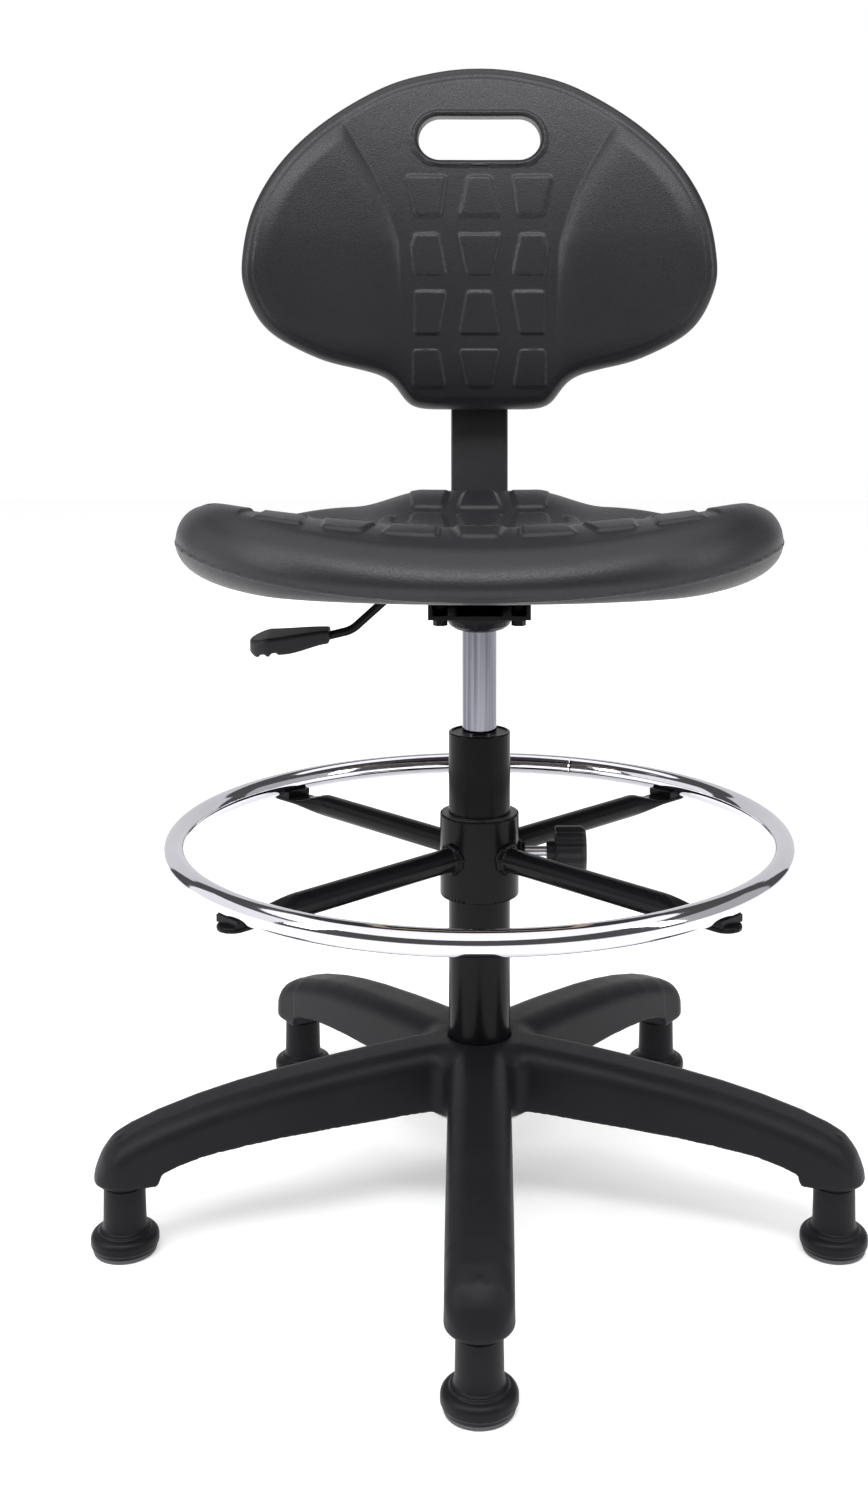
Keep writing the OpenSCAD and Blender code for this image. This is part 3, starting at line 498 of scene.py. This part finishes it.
LEG_STEP = 72
FIRST_LEG = -90
HUB_TOP = box_mm("star_base")[1][2]
LEG_END_Z = box_mm("star_base")[0][2]
GLIDE_LOW, GLIDE_HIGH = box_mm("glide_front")
GLIDE_CIRCLE = -GLIDE_LOW[1] - (GLIDE_HIGH[0] - GLIDE_LOW[0]) / 2
ROOT_HALF_W = 26        # half a leg's width at the hub
END_HALF_W = 23.8       # and at its end
LEG_WALL = 5
HUB_R = 45
CORE_R = 40             # the hub is solid inside this radius
SOCKET_REACH = 27       # the hollow under a leg ends this far short of the glide's axis
RIB_HALF_T = 1.5
BAYS = 4                # hollow bays between a leg's ribs
STEM_R = 5.5
STEM_TOP_Z = 84
HUB_BORE_R = 25.05      # at the hub's top
BORE_TAPER = 0.025
LEG_EDGE_R = 15.0
# height of a leg's top below the hub's top, and of its underside above its end, along its length
LEG_DROP = [(0, 0), (38, 0.2), (52, 1), (67, 2.2), (90, 4.2), (117, 7), (166, 13), (198, 18), (229, 24.3),
            (260, 32.5), (280, 39.5), (294, 46.5), (303, 54), (308.5, 61), (311, 68)]
LEG_LIFT = [(0, 24.4), (46, 24.4), (53, 28.8), (67, 28.8), (117, 27), (166, 25), (198, 22.5), (229, 19),
            (250, 14), (259, 10.5), (262.5, 8.5), (265, 1.5), (266.5, 0)]


def in_leg(x, y):
    """A point's place along its nearest leg, across it, and its distance from the axis."""
    reach = np.hypot(x, y)
    turn = np.degrees(np.arctan2(y, x)) - FIRST_LEG
    turn = np.radians(turn - LEG_STEP * np.round(turn / LEG_STEP))
    return reach * np.cos(turn), reach * np.sin(turn), reach


def leg_plan(x, y):
    """Distance to a leg's plan outline: a bar that narrows outwards to a round end."""
    return capsule(x, y, 0, ROOT_HALF_W, GLIDE_CIRCLE, END_HALF_W)


def base_shell_shape(x, y, z):
    """The five legs and the hub: one moulding, with ribbed hollows underneath."""
    lx, ly, reach = in_leg(x, y)
    turn = math.radians(LEG_STEP)
    beside = leg_plan(lx * math.cos(turn) + np.abs(ly) * math.sin(turn),
                      lx * math.sin(turn) - np.abs(ly) * math.cos(turn))
    leg = leg_plan(lx, ly)
    plan = blend_min(blend_min(leg, beside, 16), reach - HUB_R, 14)
    top = HUB_TOP - np.interp(reach, *zip(*LEG_DROP))
    under = LEG_END_Z + np.interp(reach, *zip(*LEG_LIFT))
    # the plan's outline leans in a little towards the top, as a moulding does
    lean = plan + 0.03 * np.clip(z - under, 0, 60)
    # the mark of the mould's gate over each glide
    gate = np.exp(-((lx - GLIDE_CIRCLE - 4) ** 2 + ly**2) / 2.4**2)
    skin = rounded(lean, z - top - gate, LEG_EDGE_R)
    outer = rounded(skin, under - z, 1.8 + 2.0 * smoothstep(258, 268, reach))
    bay = (GLIDE_CIRCLE - SOCKET_REACH - CORE_R) / BAYS
    from_rib = np.abs((reach - CORE_R) / bay - np.round((reach - CORE_R) / bay)) * bay
    hollow = np.maximum(np.maximum(skin + LEG_WALL, CORE_R - reach),
                        np.maximum(reach - GLIDE_CIRCLE + SOCKET_REACH, RIB_HALF_T - from_rib))
    bore = reach - (HUB_BORE_R - (HUB_TOP - z) * BORE_TAPER + np.clip(z - HUB_TOP + 1.6, 0, 3))
    stem = np.maximum(np.hypot(lx - GLIDE_CIRCLE, ly) - STEM_R, z - STEM_TOP_Z)
    return np.maximum(blend_max(outer, -hollow, 1.2), -np.minimum(bore, stem))


def glide_profile(pad_top):
    """The moulded glide's outline from its underside up to the leg: foot, waist and neck."""
    outline = [(0, pad_top, 0), (24.6, pad_top, 0.8), (25.2, 5.5, 1.5), (26, 6.6, 0.8), (26, 15.2, 5.5),
               (20.4, 16.0, 2.0), (19.6, 17.6, 1.2), (16.9, 18.6, 2.5), (16.3, 26, 8),
               (15.9, LEG_END_Z - 4.5, 0.5), (15.2, LEG_END_Z - 3.7, 0.4), (15.2, LEG_END_Z, 0.3),
               (STEM_R, LEG_END_Z, 0.2), (STEM_R, 30, 0), (0, 30, 0)]
    return fillet(outline)


def make_base():
    """The moulded base and its five glides."""
    low, high = box_mm("star_base")
    stand_in("base_shell", ["star_base"], *surface(base_shell_shape, low, high, 2.1))
    pad_top = box_mm("glide_pads")[1][2]
    for node in ("glide_front", "glide_right", "glide_rear_right", "glide_rear_left", "glide_left"):
        points, faces = lathe(glide_profile(pad_top), 96)
        low, high = box_mm(node)
        points[:, :2] += ((low + high) / 2)[:2]
        stand_in(node + "_body", [node], points, faces, sharp=50)


# ---------- column and gas lift ----------

def turned_piece(name, node, outline):
    """A round piece about the column's axis, from its closed outline (radius, height, corner radius)."""
    stand_in(name, [node], *lathe(fillet(outline, closed=True), 128, closed=True), sharp=50)


def make_column():
    """The column's tube, with a tapered foot and a floor that the piston rod's end goes through."""
    low, high = box_mm("column_tube")
    radius = high[0]
    bore_r = radius - 2.5
    hole_r = 4.6
    floor_z = low[2] + 3
    turned_piece("column_shell", "column_tube", [
        (hole_r, low[2], 0), (radius - 1.7, low[2], 0.8), (radius, HUB_TOP, 30), (radius, high[2], 1.3),
        (bore_r, high[2], 0.5), (bore_r, HUB_TOP, 2), (radius - 3.7, floor_z, 0.5), (hole_r, floor_z, 0)])


def make_cylinder():
    """The gas cylinder, with a tapered nose that holds the release pin."""
    low, high = box_mm("gas_cylinder")
    radius = high[0]
    bore_r = radius - 1.4
    pin_bore_r = 4.05
    taper_z, bore_end_z, pin_bore_z = 466, 470, 480
    turned_piece("lift_cylinder", "gas_cylinder", [
        (bore_r, low[2], 0.4), (radius, low[2], 0.6), (radius, taper_z, 0), (radius - 0.8, high[2] - 1, 1),
        (pin_bore_r, high[2], 0.3), (pin_bore_r, pin_bore_z, 0), (bore_r, bore_end_z, 1)])


# ---------- foot ring ----------

HOOP_LOW, HOOP_HIGH = box_mm("ring_hoop")
TUBE_R = (HOOP_HIGH - HOOP_LOW)[2] / 2
HOOP_Z = (HOOP_HIGH + HOOP_LOW)[2] / 2
HOOP_LINE = (HOOP_HIGH - HOOP_LOW)[0] / 2 - TUBE_R
SPOKE_Z = HOOP_Z - 11.5
SPOKES = {"spoke_front_right": -45, "spoke_rear_right": 45, "spoke_rear_left": 135, "spoke_front_left": 225}
COLLAR_R = 32
LINER_R = 29
PRESSED_HALF_W = 12     # half the width and half the thickness of a spoke's flattened end
PRESSED_HALF_T = 2
SCREW_HOLE_R = 3.2
STUD_HOLE_R = 4.15
NUT_HALF = 6.5


def make_hoop():
    """The hoop, with the thin seam where the bent tube's ends are welded."""
    seam = math.radians(69)
    angle = np.linspace(0, 2 * math.pi, 288, endpoint=False) + seam
    close = np.array([-2.4, -1.6, -1.1, -0.7, -0.3, 0.3, 0.7, 1.1, 1.6, 2.4]) / HOOP_LINE
    angle = np.unique(np.concatenate([angle, seam + close]))
    around = np.linspace(0, 2 * math.pi, 56, endpoint=False)
    seam_h = 0.22 * np.exp(-(((angle - seam) * HOOP_LINE) / 0.8) ** 2)
    r = TUBE_R + seam_h[:, None]
    out, up = HOOP_LINE + r * np.cos(around), HOOP_Z + r * np.sin(around)
    points = np.stack([out * np.cos(angle)[:, None], out * np.sin(angle)[:, None], up], 2).reshape(-1, 3)
    n, m = len(angle), len(around)
    faces = [(i * m + j, (i + 1) % n * m + j, (i + 1) % n * m + (j + 1) % m, i * m + (j + 1) % m)
             for i in range(n) for j in range(m)]
    stand_in("chrome_hoop", ["ring_hoop"], points, faces)


def spoke_shape(x, y, z):
    """A spoke along X: a tube that is pressed flat under the hoop, and its weld at the collar."""
    flat = smoothstep(HOOP_LINE - 56, HOOP_LINE - 20, x)
    half_w = TUBE_R + (PRESSED_HALF_W - TUBE_R) * flat
    half_h = TUBE_R + (PRESSED_HALF_T - TUBE_R) * flat
    level = z - SPOKE_Z + 1.2 * flat
    tip = HOOP_LINE + 3
    plan = np.where(x > tip, np.hypot(x - tip, y) - PRESSED_HALF_W, np.abs(y) - half_w)
    bar = rounded(plan, np.abs(level) - half_h, half_h * (0.998 - 0.35 * flat))
    root = np.sqrt(np.maximum(COLLAR_R**2 - y * y, 0))
    lumps = 0.35 * np.sin(9 * np.arctan2(level, y)) + 0.25 * np.sin(17 * np.arctan2(level, y) + 1)
    weld = np.hypot(x - root - 0.8, np.hypot(y, level) - TUBE_R - 0.2) - 2.9 - lumps
    shape = blend_min(bar, weld, 1.2)
    shape = np.maximum(shape, root - 0.1 - x)
    return np.maximum(shape, SCREW_HOLE_R - np.hypot(x - HOOP_LINE, y))


def collar_shape(x, y, z):
    """The sliding collar, with the welded nut that the clamp knob's stud goes through."""
    low, high = box_mm("ring_collar")
    reach = np.hypot(x, y)
    rim = np.minimum(z - low[2], high[2] - z)
    wall = rounded(rounded(reach - COLLAR_R, z - high[2], 1.8), low[2] - z, 1.2)
    bead = np.hypot(x - COLLAR_R - 0.6, np.hypot(y, z - SPOKE_Z) - 8.0) - 1.5
    bead = bead - 0.25 * np.sin(8 * np.arctan2(z - SPOKE_Z, y))
    turn = np.arctan2(z - SPOKE_Z, y)
    turn = turn - math.pi / 3 * np.round(turn / (math.pi / 3))
    across = np.hypot(y, z - SPOKE_Z) * np.cos(turn) - NUT_HALF
    nut = rounded(across, np.abs(x - COLLAR_R - 1) - 4, 0.5)
    shape = blend_min(wall, np.minimum(nut, bead), 0.8)
    bore = np.where(rim < 2.2, reach - LINER_R - 1.8, reach - LINER_R)
    stud = np.where(x > 0, np.hypot(y, z - SPOKE_Z) - STUD_HOLE_R, 9)
    return np.maximum(shape, -np.minimum(bore, stud))


def make_foot_ring():
    """The hoop, its four spokes and the sliding collar."""
    make_hoop()
    low, high = np.array([30, -13, SPOKE_Z - 14]), np.array([HOOP_LINE + 16, 13, SPOKE_Z + 14])
    points, faces = surface(spoke_shape, low, high, 1.25)
    for node, angle in SPOKES.items():
        c, s = math.cos(math.radians(angle)), math.sin(math.radians(angle))
        turned = np.stack([points[:, 0] * c - points[:, 1] * s, points[:, 0] * s + points[:, 1] * c,
                           points[:, 2]], 1)
        stand_in(node + "_tube", [node], turned, faces)
    low, high = box_mm("ring_collar")
    stand_in("collar_body", ["ring_collar"], *surface(collar_shape, low, high, 1.0), sharp=40)


# ---------- knobs ----------

FLUTE_R = 3.3
DISH_R = 70             # the head's face is hollowed by a ball of this radius


def make_knob(name, node, axis, base, r, head, hub_r, hub, flutes):
    """A knob whose hub starts at the place base on its axis and whose fluted head points along +axis."""
    low, high = box_mm(node)
    middle = (low + high) / 2

    def shape(*place):
        out, u, v = (place[(axis + i) % 3] for i in range(3))
        out, u, v = out - base, u - middle[(axis + 1) % 3], v - middle[(axis + 2) % 3]
        reach, turn = np.hypot(u, v), np.arctan2(v, u)
        top = hub + head
        edge = rounded(reach - r, out - top, min(5.5, head / 2.5))
        edge = rounded(edge, hub - out, 1.6)
        step = 2 * math.pi / flutes
        fold = turn - step * np.round(turn / step)
        flute = np.hypot(reach * np.cos(fold) - r - 1.6, reach * np.sin(fold)) - FLUTE_R
        shape = blend_max(edge, -flute, 1.6)
        dish = DISH_R - np.sqrt(reach**2 + (out - top - DISH_R + 0.9) ** 2)
        shape = blend_max(shape, dish, 0.8)
        neck = rounded(reach - hub_r, np.abs(out - hub / 2 - 1) - hub / 2 - 1, 0.6)
        bore = np.maximum(reach - 4.0, out - min(14.5, head))
        return np.maximum(np.minimum(shape, neck), -bore)
    stand_in(name, [node], *surface(shape, low, high, 0.85), sharp=45)


def make_knobs():
    """The foot ring's clamp knob and the backrest's height knob."""
    low = box_mm("ring_knob")[0]
    make_knob("ring_knob_grip", "ring_knob", 0, low[0], 20.5, 25, 8.5, 7, 10)
    low = box_mm("height_knob")[0]
    make_knob("height_knob_grip", "height_knob", 1, low[1], 20, 19, 9, 4, 8)


# ---------- lift lever ----------

LEVER_PATH = [(30, 508.8, 0), (-55, 508.8, 22), (-103, 465.5, 22), (-136, 457.5, 0)]
LEVER_R = 3.5


def paddle_shape(x, y, z):
    """The teardrop paddle, its top tilted towards the front, with two finger grooves below."""
    plan = capsule(-x, y, 124, 8, 169, 16)
    plan = rounded(plan, x + 120.5, 1.5)
    top = 467 - 4.6 * smoothstep(118, 178, -x) - 3.2 * smoothstep(168, 186, -x) + 0.13 * y
    under = (455.5 - 8 * smoothstep(118, 158, -x) - 2.3 * smoothstep(156, 180, -x)
             + 2.5 * smoothstep(178, 186, -x))
    for groove in (-173.5, -164.5):
        under = under + 2.1 * np.exp(-(((x - groove) / 2.9) ** 4))
    body = rounded(rounded(plan, z - top, 2.4), under - z, 2.6)
    hole = np.hypot(y, z - (455.5 + 3.4 + (-122 - x) * -0.242)) - LEVER_R
    return np.maximum(body, -np.maximum(hole, -132 - x))


def make_lever():
    """The lift lever's bent bar and its paddle."""
    around = np.linspace(0, 2 * math.pi, 32, endpoint=False)
    section = LEVER_R * np.stack([np.cos(around), np.sin(around)], 1)
    stand_in("lever_bar", ["lever_rod"], *swept(fillet(LEVER_PATH, 10), section, 1, 0.8), sharp=50)
    low, high = box_mm("lever_paddle")
    stand_in("paddle_grip", ["lever_paddle"], *surface(paddle_shape, low, high, 0.8), sharp=60)


# ---------- back bar ----------

BAR_T = 8
BAR_BEND_R = 46
BAR_EDGE_R = 1.9


def make_back_bar():
    """The flat bar that runs back under the seat and bends up to the backrest."""
    low, high = box_mm("back_bar")
    mid_z, mid_y = low[2] + BAR_T / 2, high[1] - BAR_T / 2
    path = fillet([(low[1], mid_z, 0), (mid_y, mid_z, BAR_BEND_R), (mid_y, high[2], 0)], 20)
    half_t, half_w = BAR_T / 2, high[0]
    section = fillet([(-half_t, -half_w, BAR_EDGE_R), (half_t, -half_w, BAR_EDGE_R),
                      (half_t, half_w, BAR_EDGE_R), (-half_t, half_w, BAR_EDGE_R)], 5, closed=True)
    # the bar takes the lighter copy of the black paint, whose lighter colour is painted light
    stand_in("back_bar_strip", ["back_bar"], *swept(path, section, 0, 0.5), sharp=50,
             finish="black_paint_satin_lit")


# ---------- seat ----------

SEAT_OUTLINE = loop_through(mirrored([
    (0, -206), (75, -200), (140, -181), (192, -146), (224, -98), (236, -40), (232, 20), (214, 80), (182, 132),
    (136, 170), (84, 189), (0, 199)]), 12)
# tiles of the seat's rows from front to rear: y low and high, then x from and to at each of the two edges
SEAT_TILES = [
    (-152, -107, -9, 14.8, -9, 20.4), (-152, -107, 29, 71, 29, 65.5), (-152, -107, 83.5, 114, 75, 116),
    (-152, -107, 127, 165.6, 128, 160), (-152, -107, 177, 199, 167, 210),
    (-98, -53, -9, 20.4, -9, 14.8), (-98, -53, 33, 68, 28, 72), (-98, -53, 80, 118, 86, 114),
    (-98, -53, 129, 164, 126, 168), (-98, -53, 175, 212, 180, 208),
    (-44, 1, -9, 14.8, -9, 20.4), (-44, 1, 29, 71, 33, 66), (-44, 1, 84, 114, 78, 116),
    (-44, 1, 127, 167, 128, 162), (-44, 1, 179, 207, 173, 210),
    (10, 57, -9, 20.4, -9, 14), (10, 57, 33, 66, 28, 68), (10, 57, 78, 112, 80, 108),
    (10, 57, 124, 158, 120, 156), (10, 57, 170, 196, 168, 186),
    (66, 103, -9, 13.3, -9, 21), (66, 103, 25, 63.5, 30, 59), (66, 103, 77, 95, 72, 83),
    (112, 157, -9, 20.2, -9, 13.6), (112, 157, 31, 59, 26, 64)]


SEAT_UNDER_Z = 514
SEAT_EDGE = 30          # how far in from the outline the seat's edge is rounded
SEAT_TILE_RISE = 2.2


def seat_shape_of(low, high):
    """The seat's foam: a saddle with a raised rear lobe and tiles, and a pocket below for its board."""
    depth = depth_inside(SEAT_OUTLINE)
    tiles = tile_map(SEAT_TILES, low[:2] - 5, high[:2] + 5, 2.4, 5, 20)
    board = box_mm("seat_insert")
    board_mid, board_half = (board[0] + board[1]) / 2, (board[1] - board[0]) / 2

    def shape(x, y, z):
        d = depth(x, y)
        side = np.abs(x)
        lobe = 1 - smoothstep(48, 112, side)
        top = (538 + 22 * (1 - smoothstep(-115, 45, y)) - 15 * (np.maximum(-115 - y, 0) / 100) ** 2
               + 25 * smoothstep(58, 158, y) * lobe + 11 * smoothstep(80, 160, y) * (1 - lobe)
               + 19 * (side / 211) ** 1.9 * (1 - 0.75 * smoothstep(-60, 120, y)))
        top = top + SEAT_TILE_RISE * tiles(x, y) * smoothstep(14, 36, d)
        under = SEAT_UNDER_Z + 6 * smoothstep(140, 240, side)
        middle = under + 0.42 * (top - under)
        h = np.where(z > middle, top - middle, middle - under)
        body = (np.hypot(np.maximum(1 - d / SEAT_EDGE, 0), (z - middle) / h) - 1) * np.minimum(SEAT_EDGE, h)
        # the thin line where the mould's halves meet
        seam = SEAT_UNDER_Z + 5 + 19 * (side / 200) ** 2
        body = body - 0.8 * np.exp(-(((z - seam) / 0.9) ** 2)) * (d < 12)
        pocket = box_shape(x - board_mid[0], y - board_mid[1], board_half[0], board_half[1], 25)
        return np.maximum(body, -np.maximum(pocket, z - board[1][2]))
    return shape


def make_seat():
    """The seat's foam."""
    low, high = box_mm("seat_foam")
    points, faces = surface(seat_shape_of(low, high), low, high, 1.85)
    seat = stand_in("seat_cushion", ["seat_foam"], points, faces, sharp=60)


# ---------- backrest ----------

BACK_OUTLINE = loop_through(mirrored([
    (0, 634.5), (28, 634.5), (50, 635), (63.5, 638.5), (71.5, 648), (79, 658.5), (90, 666), (108, 671.5),
    (146, 682), (189, 707), (208.5, 742), (211, 772), (202, 816), (178, 859), (140, 897), (88, 930),
    (42, 944.5), (0, 949)]), 12, soft=4.5)
# tiles of the backrest's rows from low to high: z low and high, then |x| from and to at each of the two edges
BACK_TILES = [
    (654.6, 691, -9, 11.5, -9, 19.6), (654.6, 691, 29.6, 61.4, 35.6, 61),
    (703, 743.6, -9, 19.3, -9, 12), (703, 743.6, 36, 59.5, 28.4, 59.5),
    (756, 795, -9, 11.7, -9, 20.3), (756, 786, 28.6, 59.7, 34, 63), (780, 795, 34, 63, 35.5, 58.7),
    (809.4, 847.7, -9, 19.6, -9, 10.7), (809.4, 847.7, 34, 58.5, 29, 67)]
# the crease between the raised wings and the middle panel: its |x| at each height
CREASE = [(640, 69), (720, 69), (767, 70.5), (785, 72), (808, 79), (830, 87), (854, 99), (881, 115),
          (901, 127), (949, 158)]
SLOT_Z = 882
SLOT_HALF_W = 56
SLOT_HALF_H = 20
BACK_EDGE = 12          # how far in from the outline the backrest's edge is rounded
BACK_TILE_RISE = 1.5
WING_RISE = 5.0
BEZEL_RISE = 2.2


def back_shape_of(low, high):
    """The backrest's foam, with its handle slot, wings and tiles, and a pocket behind for its board."""
    depth = depth_inside(BACK_OUTLINE)
    plan_low, plan_high = low[[0, 2]] - 5, high[[0, 2]] + 5
    tiles = tile_map(BACK_TILES, plan_low, plan_high, 2.0, 4, 0)
    board, plate = box_mm("back_insert"), box_mm("back_bracket")
    board_mid, board_half = (board[0] + board[1]) / 2, (board[1] - board[0]) / 2
    plate_mid, plate_half = (plate[0] + plate[1]) / 2, (plate[1] - plate[0]) / 2

    def shape(x, y, z):
        d = depth(x, z)
        side = np.abs(x)
        belly = np.where(z < 730, 15 * (np.maximum(730 - z, 0) / 95) ** 2,
                         40 * (np.maximum(z - 730, 0) / 218) ** 1.7)
        front = 181 + belly - 34 * (side / 211) ** 1.7
        flat = 224 + 26 * (np.maximum(0, z - 790) / 158) ** 1.6
        middle = (1 - smoothstep(45, 120, side)) * (1 - smoothstep(870, 949, z))
        rear = front + 27 + (flat - front - 27) * middle
        # a soft lip covers the board's edge round the bracket
        beside = box_shape(x, z - board_mid[2], board_half[0], board_half[2], 4)
        rear = rear + 2.4 * smoothstep(16, 4, beside)
        # relief on the front: tiles, the wings outside the crease, the handle's bezel and a line by the rim
        slot = np.hypot(np.maximum(side - SLOT_HALF_W + SLOT_HALF_H, 0), z - SLOT_Z) - SLOT_HALF_H
        past = side - np.interp(z, *zip(*CREASE))
        fade = 0.35 + 0.65 * smoothstep(720, 800, z)
        wing = WING_RISE * (1 - np.exp(-np.maximum(past, 0) / 8)) * fade * smoothstep(4, 26, d)
        bezel = BEZEL_RISE * (1 - smoothstep(4.6, 6.4, slot))
        rim = -0.9 * np.exp(-(((d - 9.5) / 1.2) ** 2))
        relief = BACK_TILE_RISE * tiles(x, z) + wing + bezel + rim
        h_mid = front + 0.45 * (rear - front)
        face = front - relief
        h = np.where(y < h_mid, h_mid - face, rear - h_mid)
        body = (np.hypot(np.maximum(1 - d / BACK_EDGE, 0), (y - h_mid) / h) - 1) * np.minimum(BACK_EDGE, h)
        body = blend_max(body, -slot, 5)
        plate = box_shape(x, z - plate_mid[2], plate_half[0] + 0.4, plate_half[2] + 0.4, 1)
        pocket = np.minimum(np.maximum(np.maximum(beside, board[0][1] - y), y - board[1][1] - 0.3),
                            np.maximum(plate, board[0][1] - y))
        return np.maximum(body, -pocket)
    return shape


def make_back():
    """The backrest's foam."""
    low, high = box_mm("back_foam")
    points, faces = surface(back_shape_of(low, high), low, high, 1.7)
    back = stand_in("back_cushion", ["back_foam"], points, faces, sharp=60)


make_base()
make_column()
make_cylinder()
make_foot_ring()
make_knobs()
make_lever()
make_back_bar()
make_seat()
make_back()


# ---------- studio ----------

FLOOR_HALF = 6
FLOOR_Z = -0.0006       # just under the glides, so that the two never share a plane
LENS_MM, SENSOR_MM = 41.27, 36
LENS_SHIFT = (-0.0303, -0.2071)
CAMERA_PLACE = (0, -1.3747, 0.7021)
CAMERA_TILT = 0.06      # how far it looks down, in radians


def floor_material():
    """A matt white that glows a little, so that the floor stays pale away from the lights."""
    material, _, shader, _ = new_material("floor_white", (0.95, 0.95, 0.95), 0.9)
    shader.inputs["Specular IOR Level"].default_value = 0.0
    shader.inputs["Emission Color"].default_value = (1, 1, 1, 1)
    shader.inputs["Emission Strength"].default_value = 0.22
    return material


def make_floor():
    """A flat white floor, which takes the chair's shadow."""
    mesh = bpy.data.meshes.new("floor")
    corners = [(x * FLOOR_HALF, y * FLOOR_HALF, FLOOR_Z) for x, y in ((-1, -1), (1, -1), (1, 1), (-1, 1))]
    mesh.from_pydata(corners, [], [(0, 1, 2, 3)])
    mesh.materials.append(floor_material())
    floor = bpy.data.objects.new("floor", mesh)
    bpy.context.scene.collection.objects.link(floor)


def make_sun(name, direction, spread_deg, power):
    """Even light from far off. The spread softens its shadows."""
    sun = bpy.data.lights.new(name, "SUN")
    sun.energy, sun.angle = power, math.radians(spread_deg)
    holder = bpy.data.objects.new(name, sun)
    holder.rotation_euler = Vector(direction).to_track_quat("-Z", "Y").to_euler()
    bpy.context.scene.collection.objects.link(holder)


def make_light(name, place, aim, width, height, power):
    """A soft rectangular light that the camera doesn't see."""
    light = bpy.data.lights.new(name, "AREA")
    light.shape = "RECTANGLE"
    light.size, light.size_y, light.energy = width, height, power
    holder = bpy.data.objects.new(name, light)
    holder.location = place
    holder.rotation_euler = (Vector(aim) - Vector(place)).to_track_quat("-Z", "Y").to_euler()
    holder.visible_camera = False
    bpy.context.scene.collection.objects.link(holder)


def make_world(shown, lit):
    """A white studio: what the camera sees behind the chair is brighter than what lights it."""
    world = bpy.data.worlds.new("studio")
    bpy.context.scene.world = world
    world.use_nodes = True
    tree = world.node_tree
    back = tree.nodes["Background"]
    path = tree.nodes.new("ShaderNodeLightPath")
    strength = tree.nodes.new("ShaderNodeMix")
    strength.data_type = "FLOAT"
    strength.inputs["A"].default_value, strength.inputs["B"].default_value = lit, shown
    tree.links.new(path.outputs["Is Camera Ray"], strength.inputs["Factor"])
    tree.links.new(strength.outputs["Result"], back.inputs["Strength"])
    back.inputs["Color"].default_value = (1, 1, 1, 1)


def make_camera():
    """The camera, set to the view that the picture was taken from."""
    camera = bpy.data.cameras.new("camera")
    camera.lens, camera.sensor_width = LENS_MM, SENSOR_MM
    camera.shift_x, camera.shift_y = LENS_SHIFT
    holder = bpy.data.objects.new("camera", camera)
    holder.location = CAMERA_PLACE
    holder.rotation_euler = (math.pi / 2 - CAMERA_TILT, 0, 0)
    bpy.context.scene.collection.objects.link(holder)
    bpy.context.scene.camera = holder


make_floor()
make_world(1.0, 0.1)
make_sun("overhead", (0.05, 0.15, -1), 90, 2.15)
make_light("key", (-1.7, -1.0, 1.5), (0, 0, 0.5), 0.45, 1.6, 20)
make_light("fill", (1.9, -0.9, 1.4), (0, 0, 0.5), 0.4, 1.6, 15)
make_light("front_top", (-0.1, -1.4, 2.6), (0, 0.1, 0.85), 2.2, 0.8, 44)
make_light("back_wall", (0, 3.2, 1.3), (0, 0, 0.9), 7.0, 2.6, 40)
make_light("left_wall", (-3.0, 0.1, 1.1), (0, 0, 0.45), 2.6, 2.2, 19)
make_light("right_wall", (3.0, 0.1, 1.1), (0, 0, 0.45), 2.6, 2.2, 8)
make_camera()
bpy.context.scene.view_settings.view_transform = "Standard"
